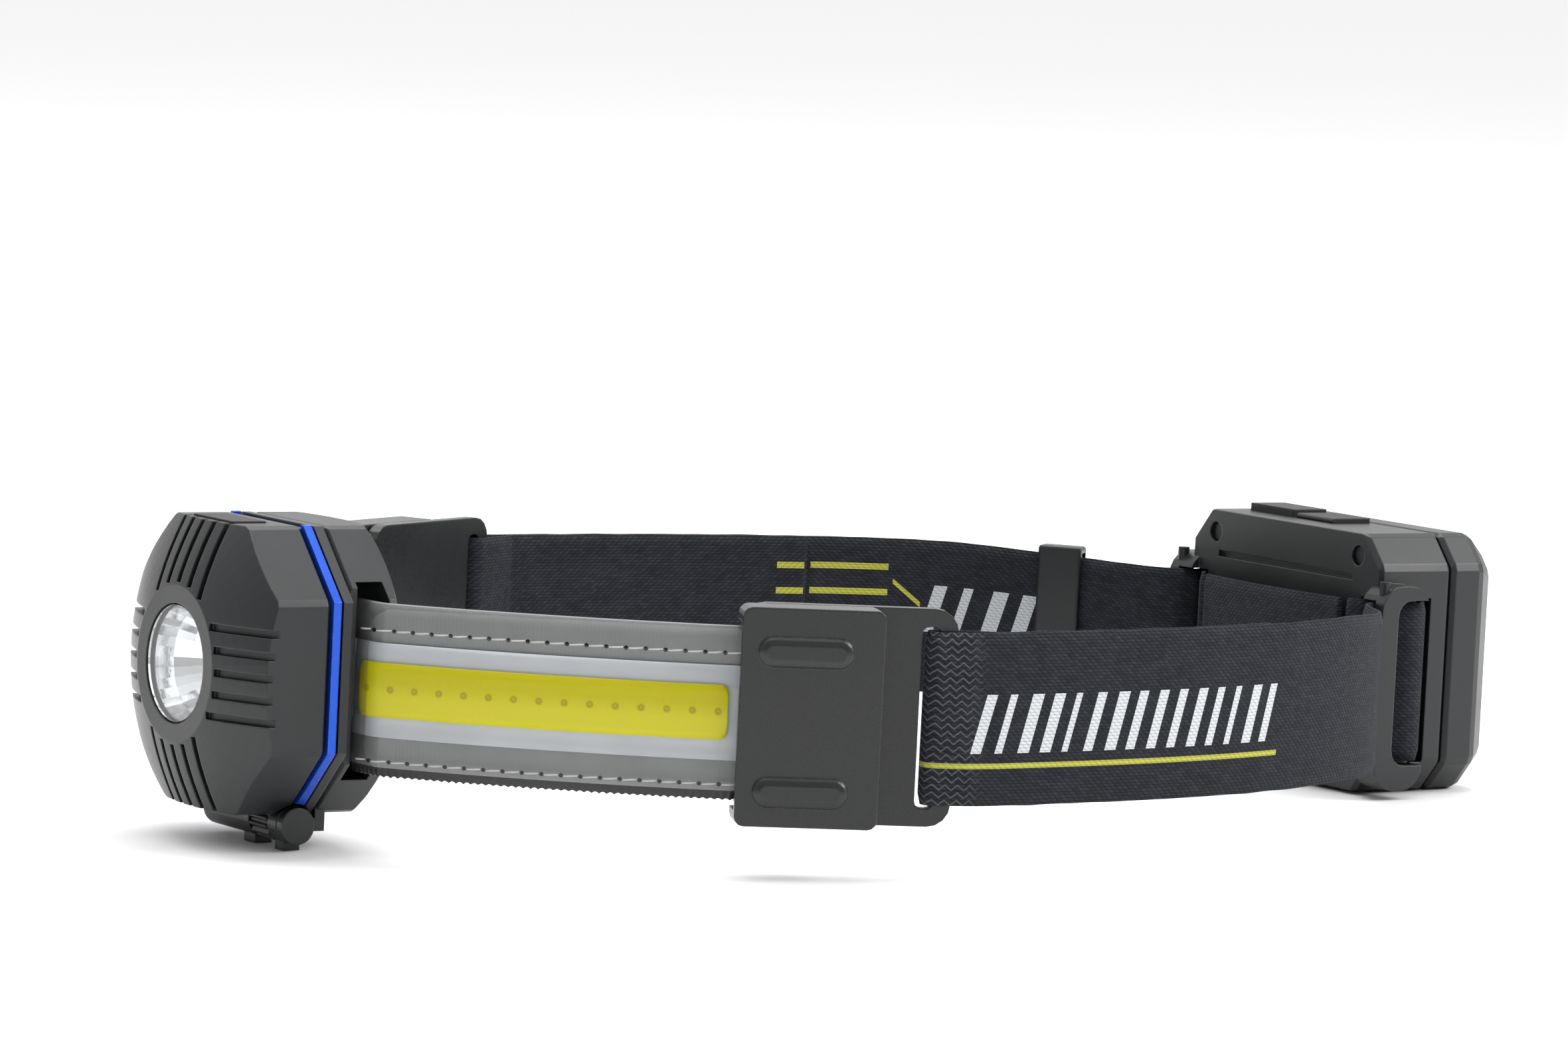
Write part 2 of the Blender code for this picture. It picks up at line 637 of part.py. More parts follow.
def make_hinge_pin(frame, hinge_y, hinge_z):
    """Hinge pin, with a cap pressed on its left end."""
    place = (hinge_y, hinge_z)
    pin = rod_mesh("hinge_pin", PIN_RADIUS, -10.6 * MM, 14.4 * MM, 16, "X", place)
    add_part("hinge_pin", pin, "metal", *frame)
    cap = rod_mesh("hinge_cap", KNUCKLE_RADIUS, 13.7 * MM, 15.4 * MM, 28, "X", place)
    cap = add_part("hinge_cap", cap, "housing", *frame)
    cut(cap, rod_mesh("socket", PIN_HOLE, 13 * MM, 14.7 * MM, 20, "X", place))


# ---------------------------------------------------------------- light bars

def bar_path():
    """Middle line of a light bar: out of the bracket, then along the loop to the buckle."""
    start = Vector((17 * MM, -87.5 * MM))
    joint, tangent = loop_at(BAR_START)
    reach = (joint.y - start.y) / tangent.y
    corner = joint - tangent * reach
    points = [start]
    for k in range(1, 7):
        t = k / 6
        points.append(start * (1 - t) ** 2 + corner * 2 * t * (1 - t) + joint * t * t)
    steps = 14
    for k in range(1, steps + 1):
        points.append(loop_at(BAR_START + (BAR_END - BAR_START) * k / steps)[0])
    return points


def part_of_path(points, start, end):
    """The stretch of a path between two distances along it."""
    lengths = [0.0]
    for a, b in zip(points, points[1:]):
        lengths.append(lengths[-1] + (b - a).length)
    kept = []
    for i in range(len(points) - 1):
        for mark in (start, end):
            if lengths[i] <= mark < lengths[i + 1]:
                share = (mark - lengths[i]) / (lengths[i + 1] - lengths[i])
                kept.append((mark, points[i].lerp(points[i + 1], share)))
    kept += [(s, p) for s, p in zip(lengths, points) if start < s < end]
    return [p for _, p in sorted(kept, key=lambda item: item[0])]


def make_light_bars(stand):
    """Backing, flexible board, yellow phosphor and clear film of each light bar."""
    path = bar_path()
    layers = (
        ("bar_backing", BACKING, (-15.0, 14.6), (0, 89), "knit"),
        ("bar_board", SUBSTRATE, (-8.2, 8.0), (1.5, 89), "white"),
        ("bar_phosphor", PHOSPHOR, (-4.6, 4.7), (7.6, 69.2), "phosphor"),
        ("bar_film", FILM, (-13.2, 14.8), (0.8, 88), "clear"))
    for name, (inner, outer), (low, high), (start, end), finish in layers:
        middle = offset_path(part_of_path(path, start * MM, end * MM), (inner + outer) / 2)
        for label, side in SIDES:
            ribbon(f"{name}_{label}", mirrored(middle, side), low * MM, high * MM,
                   outer - inner, finish, stand)


# ---------------------------------------------------------------- buckles

def buckle_chord():
    """Ends of the straight line that a buckle is built on."""
    return loop_point(LID_START, 0), loop_point(PLATE_END, 1.0 * MM)


def buckle_frame(stand, label, side):
    """Empty at the loop under a buckle; its X runs back along the band."""
    middle = (LID_START + PLATE_END) / 2
    a, b = buckle_chord()
    along = (b - a).normalized()
    empty = bpy.data.objects.new(f"buckle_axis_{label}", None)
    PARTS.objects.link(empty)
    empty.parent = stand
    point = (a + b) / 2
    empty.location = (side * point.x, point.y, 0)
    empty.rotation_euler = (0, 0, math.atan2(along.y, side * along.x))
    return empty, middle


def make_buckles(stand):
    """Slotted plate behind the end of the light bar, and the lid that clamps it."""
    for label, side in SIDES:
        empty, middle = buckle_frame(stand, label, side)
        out = -side
        make_buckle_plate(empty, label, out, middle)
        make_buckle_lid(empty, label, out, middle)


def facing(mesh, out):
    """Turn a shape modelled with its outside towards -Y to the side that faces out."""
    if out > 0:
        mesh.transform(Matrix.Diagonal((1, -1, 1, 1)))
        mesh.flip_normals()
    return mesh


def upright(outline, back, front):
    """Outline in XZ with its thickness along Y, from back (inside) to front (outside, -Y)."""
    mesh = outline_mesh("upright", outline, back, front)
    mesh.transform(Matrix.Rotation(math.pi / 2, 4, "X"))
    return mesh


def make_buckle_plate(empty, label, out, middle):
    start = LID_START + 0.8 * MM - middle
    end = PLATE_END - middle
    outline = rounded_rectangle(end - start, BUCKLE_HEIGHT, 4 * MM, centre=((start + end) / 2, 0))
    mesh = facing(upright(outline, -4.2 * MM, -1.9 * MM), out)
    plate = add_part(f"buckle_plate_{label}", mesh, "housing", empty)
    slot = rounded_rectangle(SLOT_END - SLOT_START, 30.8 * MM, 1.2 * MM, 3,
                             ((SLOT_START + SLOT_END) / 2 - middle, 0))
    cut(plate, facing(upright(slot, -8 * MM, MM), out))


def make_buckle_lid(empty, label, out, middle):
    start = LID_START - middle
    end = LID_END - middle
    centre_x = (start + end) / 2
    outline = rounded_rectangle(end - start, BUCKLE_HEIGHT, 1.6 * MM, 3, (centre_x, 0))
    mesh = facing(upright(outline, -1.6 * MM, 5.4 * MM), out)
    lid = add_part(f"buckle_lid_{label}", mesh, "housing", empty)
    soften(lid, 1.2 * MM, 3)
    bar_room = block_mesh("bar_room", (start - 3 * MM, -4.1 * MM, -15.8 * MM),
                          (end - 2.4 * MM, 2.4 * MM, 15.8 * MM))
    cut(lid, facing(bar_room, out))
    for z in (-12.6 * MM, 11.0 * MM):
        rings = []
        for inset, out_y in ((0, 5.0), (0, 5.7), (0.45, 6.1), (1.3, 6.4)):
            ring = rounded_rectangle((16.2 - 2 * inset) * MM, (5.1 - 2 * inset) * MM, (2.5 - inset) * MM, 5,
                                     (centre_x - 1.2 * MM, z))
            rings.append([(x, -out_y * MM, h) for x, h in ring])
        join(lid, facing(loft_mesh("boss", rings), out))


# ---------------------------------------------------------------- elastic band

def band_path():
    """Middle line of the elastic band: inner layer, round the buckle's end bar, outer layer,
    and round the post in the battery box's window."""
    outer_lift = 0.75 * MM
    inner_lift = -0.9 * MM
    points = []
    steps = 16
    for k in range(steps + 1):
        s = 200 * MM + (137 * MM - 200 * MM) * k / steps
        points.append(loop_point(s, inner_lift))
    bar = buckle_points()
    points += bar
    steps = 22
    for k in range(steps + 1):
        s = 137 * MM + (255 * MM - 137 * MM) * k / steps
        points.append(loop_point(s, outer_lift))
    points += post_points()
    return points


def buckle_points():
    """The turn round the buckle's end bar, from the inside of the plate to its outside."""
    a, b = buckle_chord()
    along = (b - a).normalized()
    normal = Vector((along.y, -along.x))

    def local(s, out):
        return b + along * (s - PLATE_END) + normal * out

    turn_s = SLOT_END - 0.1 * MM
    reach = 1.8 * MM
    inner, outer = -5.2 * MM, -0.9 * MM
    radius = (outer - inner) / 2
    points = [local(PLATE_END + 1.6 * MM, inner + 0.2 * MM), local(PLATE_END - 0.4 * MM, inner)]
    for k in range(9):
        angle = math.pi * k / 8
        s = turn_s - reach * math.sin(angle)
        points.append(local(s, inner + radius - radius * math.cos(angle)))
    points += [local(PLATE_END - 0.4 * MM, outer), local(PLATE_END + 2.2 * MM, outer - 0.2 * MM)]
    return points


POST = Vector((28.2 * MM, 129.2 * MM))
POST_RADIUS = 2.2 * MM


def post_points():
    """Behind the window's outer bar, round the post, and in along the box's inner face."""
    radius = POST_RADIUS + 0.55 * MM + STRAP_THICKNESS / 2
    places = ((39.9, 112.8), (35.4, 115.2), (32.0, 117.5), (29.8, 120.2), (29.2, 123.2), (30.0, 125.4))
    points = [Vector((x * MM, y * MM)) for x, y in places]
    for k in range(9):
        angle = math.radians(-28 + 208 * k / 8)
        points.append(POST + radius * Vector((math.cos(angle), math.sin(angle))))
    places = ((25.3, 124.0), (24.9, 121.9), (22.4, 120.5))
    return points + [Vector((x * MM, y * MM)) for x, y in places]


def settle(y):
    """How far the band drops where it nears the battery box's windows."""
    share = min(max((y - 84 * MM) / (120 * MM - 84 * MM), 0.0), 1.0)
    return WINDOW_Z * share * share * (3 - 2 * share)


def make_bands(stand):
    path = band_path()
    for label, side in SIDES:
        band = ribbon(f"elastic_band_{label}", mirrored(path, side), -BAND_HEIGHT / 2, BAND_HEIGHT / 2,
                      STRAP_THICKNESS, "knit", stand)
        for vertex in band.data.vertices:
            vertex.co.z += settle(vertex.co.y)


def make_bridge(stand):
    """Stretch of band across the battery box's inner face, sewn to the two sides."""
    points = []
    for k in range(13):
        x = 20.9 * MM * (1 - k / 6)
        bow = 1.6 * MM * (1 - (x / (20.9 * MM)) ** 2)
        points.append((x, 120.0 * MM - bow))
    ribbon("band_bridge", points, WINDOW_Z - BAND_HEIGHT / 2, WINDOW_Z + BAND_HEIGHT / 2,
           STRAP_THICKNESS, "knit", stand)


def make_adjuster(stand):
    """Slider on the right side of the band: a flat sleeve round it."""
    point, tangent = loop_at(250 * MM)
    empty = bpy.data.objects.new("adjuster_axis", None)
    PARTS.objects.link(empty)
    empty.parent = stand
    empty.location = (-point.x, point.y, settle(point.y))
    empty.rotation_euler = (0, 0, math.atan2(tangent.y, -tangent.x))
    half = BAND_HEIGHT / 2 + 1.7 * MM
    mesh = block_mesh("strap_adjuster", (-4.3 * MM, -1.4 * MM, -half), (4.3 * MM, 3.0 * MM, half))
    adjuster = add_part("strap_adjuster", mesh, "housing", empty)
    soften(adjuster, 0.6 * MM, 2)
    room = BAND_HEIGHT / 2 + 0.5 * MM
    cut(adjuster, block_mesh("room", (-8 * MM, -0.3 * MM, -room), (8 * MM, 1.9 * MM, room)))


# ---------------------------------------------------------------- battery box

def box_octagon(inset=0.0):
    half_h = (BOX_TOP_Z - BOX_BOTTOM_Z) / 2 - inset
    flat_h = 18.2 * MM - inset * 0.4
    return octagon(BOX_HALF - inset, half_h, 24.4 * MM - inset * 0.4, flat_h)


BOX_Z = (BOX_TOP_Z + BOX_BOTTOM_Z) / 2
BOX_SCREWS = [(x * MM, z * MM) for x in (-22.2, 22.2) for z in (-20.0, 19.8)]


def sideways(name, outline, low, high, side):
    """Outline in depth and height, as thick in X as low to high, on the side asked for."""
    mesh = outline_mesh(name, outline, -high, -low)
    mesh.transform(Matrix.Rotation(-math.pi / 2, 4, "Y"))
    return mirror_x(mesh, side)


def window_shapes(side):
    """Steps that make the window, bar and post that hold the band on one side of the box."""
    middle = WINDOW_Z - BOX_Z
    low, high = middle - WINDOW_HEIGHT / 2, middle + WINDOW_HEIGHT / 2
    arms = rounded_rectangle(11 * MM, 38 * MM, 4.6 * MM, 5, (-3.3 * MM, middle - 1 * MM))
    skin = rounded_rectangle(16 * MM, WINDOW_HEIGHT, 3 * MM, 4, (-9.6 * MM, middle))
    post = rod_mesh("post", POST_RADIUS, low - MM, high + MM, 20)
    post.transform(Matrix.Rotation(math.pi / 2, 4, "X"))
    post.transform(Matrix.Translation((side * POST.x, low + high, BOX_FRONT_Y - POST.y)))
    nub = rod_mesh("nub", 1.1 * MM, high + MM, high + 3.4 * MM, 12)
    nub.transform(Matrix.Rotation(-math.pi / 2, 4, "X"))
    nub.transform(Matrix.Translation((side * 31.6 * MM, 0, 0.4 * MM)))
    return (
        (join, sideways("arms", arms, 27 * MM, 33.5 * MM, side)),
        (cut, mirror_x(block_mesh("pocket", (23.8 * MM, low, -12.0 * MM),
                                  (32.1 * MM, high, -1.6 * MM)), side)),
        (cut, sideways("skin", skin, 31 * MM, 36 * MM, side)),
        (cut, mirror_x(block_mesh("mouth", (24.0 * MM, low + 0.2 * MM, -3 * MM),
                                  (30.9 * MM, high - 0.2 * MM, 4 * MM)), side)),
        (join, post),
        (join, nub))


def make_box_shell(box):
    depth = BOX_SPLIT_Y - BOX_FRONT_Y
    mesh = outline_mesh("battery_shell", box_octagon(), -depth, 0)
    shell = add_part("battery_shell", mesh, "housing", *box)
    soften(shell, 0.8 * MM, 1, 30)
    cavity = outline_mesh("cavity", octagon(21.6 * MM, 21.9 * MM, 18.5 * MM, 18 * MM), -depth - MM, -BOX_WALL)
    cut(shell, cavity)
    cut(shell, block_mesh("step", (-21 * MM, 15.2 * MM, -0.9 * MM), (21 * MM, 16.4 * MM, MM)))
    for side in (1, -1):
        for operation, mesh in window_shapes(side):
            operation(shell, mesh)
    for x, z in BOX_SCREWS:
        cut(shell, rod_mesh("screw_head", 1.9 * MM, -1.9 * MM, 2 * MM, 16, centre=(x, z)))
        cut(shell, rod_mesh("screw_clear", 1.2 * MM, -20 * MM, 2 * MM, 12, centre=(x, z)))
    cut(shell, block_mesh("hatch", (-21.2 * MM, 20 * MM, -15.1 * MM), (-7.2 * MM, 26 * MM, -6.7 * MM)))
    cut(shell, block_mesh("flange_room", (-21.9 * MM, 18 * MM, -16 * MM), (-6.5 * MM, 22.2 * MM, -5.8 * MM)))
    hinge_z = BOX_FRONT_Y - PORT_HINGE[0]
    low, high = PORT_COVER
    cut(shell, block_mesh("port_seat", (low - GAP, PORT_HINGE[1] - 0.95 * MM, -depth - MM),
                          (high + GAP, 26 * MM, hinge_z + 0.95 * MM)))
    cut(shell, block_mesh("port_hole", (-4.7 * MM, 20 * MM, -15 * MM), (3.5 * MM, 26 * MM, -11.0 * MM)))


def make_box_cover(box):
    """Rear cover: straight walls, then a sloping edge round a flat back."""
    start = BOX_FRONT_Y - BOX_COVER_Y
    end = BOX_FRONT_Y - BOX_BACK_Y
    wall = end + BOX_SLOPE
    rings = [[(x, y, depth) for x, y in box_octagon(inset)]
             for inset, depth in ((0, start), (0, wall), (4.2 * MM, end))]
    cover = add_part("battery_cover", loft_mesh("battery_cover", rings), "housing", *box)
    soften(cover, 0.8 * MM, 1, 25)
    inside = octagon(24 * MM, 19.6 * MM, 20 * MM, 15.4 * MM)
    cavity = outline_mesh("cavity", inside, end + BOX_WALL, start + MM)
    cut(cover, cavity)
    cut(cover, outline_mesh("gasket_seat", box_octagon(1.1 * MM), start - 1.3 * MM, start + MM))
    for x, z in BOX_SCREWS:
        join(cover, rod_mesh("boss", 2.2 * MM, start - 7 * MM, start - 1.2 * MM, 16, centre=(x, z)))
    for x, z in BOX_SCREWS:
        cut(cover, rod_mesh("pilot", 1.1 * MM, start - 5.5 * MM, start + MM, 12, centre=(x, z)))


def make_box_inside(box):
    front = -BOX_WALL - 0.5 * MM
    cell = block_mesh("battery_cell", (-20 * MM, -16.5 * MM, front - 8.4 * MM), (20 * MM, 16.5 * MM, front))
    pack = add_part("battery_cell", cell, "cell", *box)
    soften(pack, 1.2 * MM, 2)
    board = block_mesh("control_board", (-19 * MM, -15 * MM, -15.2 * MM), (19 * MM, 13.5 * MM, -14.0 * MM))
    add_part("control_board", board, "board", *box)
    port = block_mesh("charging_port", (-4.4 * MM, 14.0 * MM, -14.6 * MM), (3.2 * MM, 20.6 * MM, -11.4 * MM))
    socket = add_part("charging_port", port, "metal", *box)
    mouth = block_mesh("mouth", (-3.9 * MM, 15.2 * MM, -14.1 * MM), (2.7 * MM, 22 * MM, -11.9 * MM))
    cut(socket, mouth)


def make_gasket(box):
    """Soft frame between the battery box's shell and its cover."""
    low = BOX_FRONT_Y - BOX_COVER_Y - 1.3 * MM + GAP
    high = BOX_FRONT_Y - BOX_SPLIT_Y - GAP
    mesh = outline_mesh("box_gasket", box_octagon(1.4 * MM), low, high)
    gasket = add_part("box_gasket", mesh, "rubber", *box)
    cut(gasket, outline_mesh("inside", octagon(24 * MM, 19.6 * MM, 20 * MM, 15.4 * MM), low - MM, high + MM))
    for x, z in BOX_SCREWS:
        cut(gasket, rod_mesh("screw_clear", 1.2 * MM, low - MM, high + MM, 12, centre=(x, z)))


def make_power_button(box):
    """Push-button in the top of the battery box, and the switch under it."""
    parent, location, rotation = box
    centre = Vector((-14.2 * MM, 25.4 * MM, -10.9 * MM))
    press = bpy.data.objects.new("power_button_axis", None)
    PARTS.objects.link(press)
    press.parent = parent
    press.location = (centre.x, location[1] - centre.z, location[2] + centre.y)
    press.rotation_euler = rotation
    cap = block_mesh("power_button", (-6.7 * MM, -3.6 * MM, -3.9 * MM), (6.7 * MM, 0, 3.9 * MM))
    button = add_part("power_button", cap, "rubber", press)
    join(button, block_mesh("flange", (-7.2 * MM, -4.8 * MM, -4.6 * MM), (7.2 * MM, -3.5 * MM, 4.6 * MM)))
    switch = block_mesh("power_switch", (-17.2 * MM, 16.2 * MM, -13.6 * MM),
                        (-11.2 * MM, 19.3 * MM, -11.2 * MM))
    add_part("power_switch", switch, "metal", *box)


PORT_HINGE = (129.8 * MM, 24.3 * MM)
PORT_COVER = (-6.2 * MM, 5.0 * MM)


def make_port_cover(box):
    """Soft flap over the charging port; it opens about its edge on the head's side."""
    parent, location, rotation = box
    hinge = bpy.data.objects.new("port_cover_axis", None)
    PARTS.objects.link(hinge)
    hinge.parent = parent
    hinge.location = (0, PORT_HINGE[0], location[2] + PORT_HINGE[1])
    hinge.rotation_euler = rotation
    low, high = PORT_COVER
    flap = add_part("port_cover", block_mesh("port_cover", (low, -0.6 * MM, -8.2 * MM), (high, 0.6 * MM, 0)),
                    "rubber", hinge)
    join(flap, rod_mesh("edge", 0.6 * MM, low, high, 16, "X"))


def screw_mesh(name):
    profile = screw_profile(1.7 * MM, 0.9 * MM, 0.8 * MM, 20.8 * MM, 0)
    return profile_mesh(name, profile)


def make_box_screws(box):
    """Screws put in from the head's side; their shanks point back."""
    parent, location, rotation = box
    for number, (x, z) in enumerate(BOX_SCREWS, 1):
        name = f"battery_screw_{number}"
        place = (x, BOX_FRONT_Y + 0.7 * MM, BOX_Z + z)
        turned(add_part(name, screw_mesh(name), "metal", parent, place, (-math.pi / 2, 0, 0)), 12)


def finish_scene(stand):
    """Lean the headlamp until it stands on its two feet, with the middle of its base at the origin."""
    run = BOX_BACK_Y - BOX_SLOPE - HINGE_Y
    stand.rotation_euler = (math.atan2(HINGE_FOOT_Z - BOX_BOTTOM_Z, run), 0, 0)
    bpy.context.view_layer.update()
    depsgraph = bpy.context.evaluated_depsgraph_get()
    corners = []
    for obj in PARTS.objects:
        if obj.type == "MESH":
            solid = obj.evaluated_get(depsgraph)
            mesh = solid.to_mesh()
            corners += [obj.matrix_world @ vertex.co for vertex in mesh.vertices]
            solid.to_mesh_clear()
    for axis in (0, 1):
        values = [corner[axis] for corner in corners]
        stand.location[axis] -= (min(values) + max(values)) / 2
    stand.location[2] -= min(corner[2] for corner in corners)
    bpy.context.view_layer.update()


def main():
    stand = bpy.data.objects.new("stand", None)
    PARTS.objects.link(stand)
    make_lamp(stand)
    make_bracket(stand)
    make_light_bars(stand)
    make_buckles(stand)
    make_bands(stand)
    make_bridge(stand)
    make_adjuster(stand)
    box = (stand, (0, BOX_FRONT_Y, BOX_Z), (math.pi / 2, 0, 0))
    make_box_shell(box)
    make_box_cover(box)
    make_box_inside(box)
    make_gasket(box)
    make_power_button(box)
    make_port_cover(box)
    make_box_screws(box)
    finish_scene(stand)


main()
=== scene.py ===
"""Looks of the headlamp: plastics, lens, light bars, woven band and studio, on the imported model."""

import math
import random

import bmesh
import bpy
from mathutils import Matrix, Vector, noise


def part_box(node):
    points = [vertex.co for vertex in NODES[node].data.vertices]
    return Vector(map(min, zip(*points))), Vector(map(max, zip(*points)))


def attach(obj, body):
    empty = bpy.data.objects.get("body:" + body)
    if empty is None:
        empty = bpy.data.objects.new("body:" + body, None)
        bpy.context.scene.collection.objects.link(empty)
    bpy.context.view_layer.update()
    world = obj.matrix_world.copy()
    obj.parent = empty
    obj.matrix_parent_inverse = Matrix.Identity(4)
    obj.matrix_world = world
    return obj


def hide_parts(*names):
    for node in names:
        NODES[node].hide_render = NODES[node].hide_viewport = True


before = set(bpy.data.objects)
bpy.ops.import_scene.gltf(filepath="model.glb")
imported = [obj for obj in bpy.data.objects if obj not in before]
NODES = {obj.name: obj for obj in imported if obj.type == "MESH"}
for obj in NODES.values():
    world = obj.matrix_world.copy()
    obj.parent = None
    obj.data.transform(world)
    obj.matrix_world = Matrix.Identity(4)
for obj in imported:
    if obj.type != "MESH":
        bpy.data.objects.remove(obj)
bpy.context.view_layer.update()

MM = 0.001
SIDES = (("left", 1), ("right", -1))

# The headlamp is drawn level and leans back about X until it stands on its two feet.
FOOT_RISE = 5.8 * MM
FOOT_SPAN = 241.4 * MM
LEAN = math.atan2(FOOT_RISE, FOOT_SPAN)
HINGE_LEVEL = Vector((0, -95.2 * MM, -24.6 * MM))

# Where the object is seen from, in the level drawing.
CAMERA_SPOT = Vector((1.06246, -0.67984, 0.13546))
CAMERA_FORWARD = Vector((-0.83558, 0.54252, -0.08647))
CAMERA_UP = Vector((-0.09936, 0.00555, 0.99504))
CAMERA_LENS = 163.1

# The same loop line, layers and places as the CAD model.
LOOP_HALF_WIDTH = 82 * MM
LOOP_CENTRE_Y = -2 * MM
LOOP_FRONT_DEPTH = 99 * MM
LOOP_FRONT_POWER = 1.42
LOOP_REAR_DEPTH = 122 * MM
LOOP_REAR_POWER = 2.6
BAND_HALF = 14.8 * MM
STRAP_HALF_THICKNESS = 0.65 * MM
LID_START = 91.2 * MM
PLATE_END = 128.8 * MM
SLOT_END = 125.8 * MM
BAR_START = 30.5 * MM
BAR_END = 111 * MM
POST = Vector((28.2 * MM, 129.2 * MM))
POST_RADIUS = 2.2 * MM
WINDOW_Z = -2.0 * MM

# Texture height is this much more on a strip's inner face, so that a material can tell the two apart.
INNER_SHIFT = 0.1

# One brick of the weave, and the rows of sewing on the light bars.
YARN_LENGTH = 1.2 * MM
YARN_HEIGHT = 0.55 * MM
STITCH_ROWS = (10.2 * MM, -12.0 * MM)
STITCH_START = 6 * MM
STITCH_END = 76 * MM
STITCH_PITCH = 3.3 * MM
STITCH_LENGTH = 2.35 * MM


def level_matrix():
    """From the level drawing to the world, found from where the hinge pin is."""
    lean = Matrix.Rotation(-LEAN, 4, "X")
    low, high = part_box("hinge_pin")
    middle = (low + high) / 2
    shift = Vector((0, middle.y, middle.z)) - lean @ HINGE_LEVEL
    return Matrix.Translation(shift) @ lean


LEVEL = level_matrix()


# ---------------------------------------------------------------- camera, light and stage

def make_camera():
    data = bpy.data.cameras.new("camera")
    data.sensor_width = 36
    data.lens = CAMERA_LENS
    data.clip_start = 0.05
    data.clip_end = 50
    camera = bpy.data.objects.new("camera", data)
    bpy.context.scene.collection.objects.link(camera)
    turn = LEVEL.to_3x3()
    forward = (turn @ CAMERA_FORWARD).normalized()
    up = turn @ CAMERA_UP
    right = forward.cross(up).normalized()
    up = right.cross(forward)
    axes = Matrix((right, up, -forward)).transposed().to_4x4()
    spot = LEVEL @ CAMERA_SPOT
    camera.matrix_world = Matrix.Translation(spot) @ axes
    bpy.context.scene.camera = camera


def area_light(name, location, target, width, power):
    """Square soft light aimed at a target."""
    data = bpy.data.lights.new(name, "AREA")
    data.size = width
    data.energy = power
    light = bpy.data.objects.new(name, data)
    bpy.context.scene.collection.objects.link(light)
    light.location = location
    light.rotation_euler = (Vector(target) - Vector(location)).to_track_quat("-Z", "Y").to_euler()


def make_world():
    """Bright behind and above the object, darker on the side it is seen from, and plain white to the eye."""
    world = bpy.data.worlds.new("studio")
    world.use_nodes = True
    t = Tree(world)
    way = t.add("ShaderNodeTexCoord").outputs["Generated"]
    away = t.add("ShaderNodeVectorMath", {0: way, 1: (-0.83, 0.55, 0.0)}, operation="DOT_PRODUCT")
    height = t.add("ShaderNodeSeparateXYZ", {0: way}).outputs["Z"]
    behind = t.stretch(away.outputs["Value"], -1.0, 1.0, 0.22, 0.95)
    level = t.math("ADD", behind, t.stretch(height, 0.1, 0.9, 0.0, 0.55))
    direct = t.add("ShaderNodeLightPath").outputs["Is Camera Ray"]
    unseen = t.math("MULTIPLY", level, t.math("SUBTRACT", 1.0, direct))
    background = t.nodes["Background"]
    t.put(t.math("ADD", unseen, direct), background.inputs["Strength"])
    background.inputs["Color"].default_value = (1, 1, 1, 1)
    bpy.context.scene.world = world


def make_studio():
    make_world()
    scene = bpy.context.scene
    scene.view_settings.view_transform = "Standard"
    area_light("key", (0.9, 1.2, 1.1), (0, 0, 0.02), 0.9, 20)
    area_light("top", (-0.4, 0.1, 1.7), (0, 0, 0), 1.4, 24)
    bm = bmesh.new()
    bmesh.ops.create_grid(bm, x_segments=1, y_segments=1, size=12)
    mesh = bpy.data.meshes.new("floor")
    bm.to_mesh(mesh)
    bm.free()
    floor = bpy.data.objects.new("floor", mesh)
    scene.collection.objects.link(floor)
    material, shader, _ = new_material("floor_white")
    shader.inputs["Base Color"].default_value = (0.93, 0.93, 0.93, 1)
    shader.inputs["Roughness"].default_value = 0.9
    mesh.materials.append(material)


# ---------------------------------------------------------------- material helpers

class Tree:
    """Short ways to add and link nodes in one material or world."""

    def __init__(self, owner):
        self.tree = owner.node_tree
        self.nodes = self.tree.nodes

    def add(self, kind, inputs=None, **settings):
        node = self.nodes.new(kind)
        for key, value in settings.items():
            setattr(node, key, value)
        for key, value in (inputs or {}).items():
            self.put(value, node.inputs[key])
        return node

    def put(self, value, socket):
        """Link an output to a socket, or set the socket's own value."""
        if isinstance(value, bpy.types.NodeSocket):
            self.tree.links.new(value, socket)
        else:
            socket.default_value = value

    def math(self, operation, a, b=0.0, clamp=False):
        node = self.add("ShaderNodeMath", {0: a, 1: b}, operation=operation, use_clamp=clamp)
        return node.outputs[0]

    def mix(self, factor, a, b):
        node = self.add("ShaderNodeMix", {"Factor": factor}, data_type="RGBA")
        self.put(a, node.inputs[6])
        self.put(b, node.inputs[7])
        return node.outputs[2]

    def noise(self, vector, scale, detail=2.0, roughness=0.5):
        node = self.add("ShaderNodeTexNoise", {
            "Vector": vector, "Scale": scale, "Detail": detail, "Roughness": roughness})
        return node.outputs["Fac"]

    def stretch(self, value, low, high, to_low=0.0, to_high=1.0):
        node = self.add("ShaderNodeMapRange", {
            "Value": value, "From Min": low, "From Max": high, "To Min": to_low, "To Max": to_high})
        return node.outputs["Result"]

    def between(self, value, low, high):
        """One where value lies between low and high, else zero."""
        above = self.math("GREATER_THAN", value, low)
        below = self.math("LESS_THAN", value, high)
        return self.math("MULTIPLY", above, below)

    def bump(self, height, distance, strength=1.0, normal=None):
        inputs = {"Height": height, "Distance": distance, "Strength": strength}
        if normal is not None:
            inputs["Normal"] = normal
        return self.add("ShaderNodeBump", inputs).outputs["Normal"]


def new_material(name):
    material = bpy.data.materials.new(name)
    material.use_nodes = True
    tree = Tree(material)
    return material, tree.nodes["Principled BSDF"], tree


def colour(*rgb):
    return (*rgb, 1)


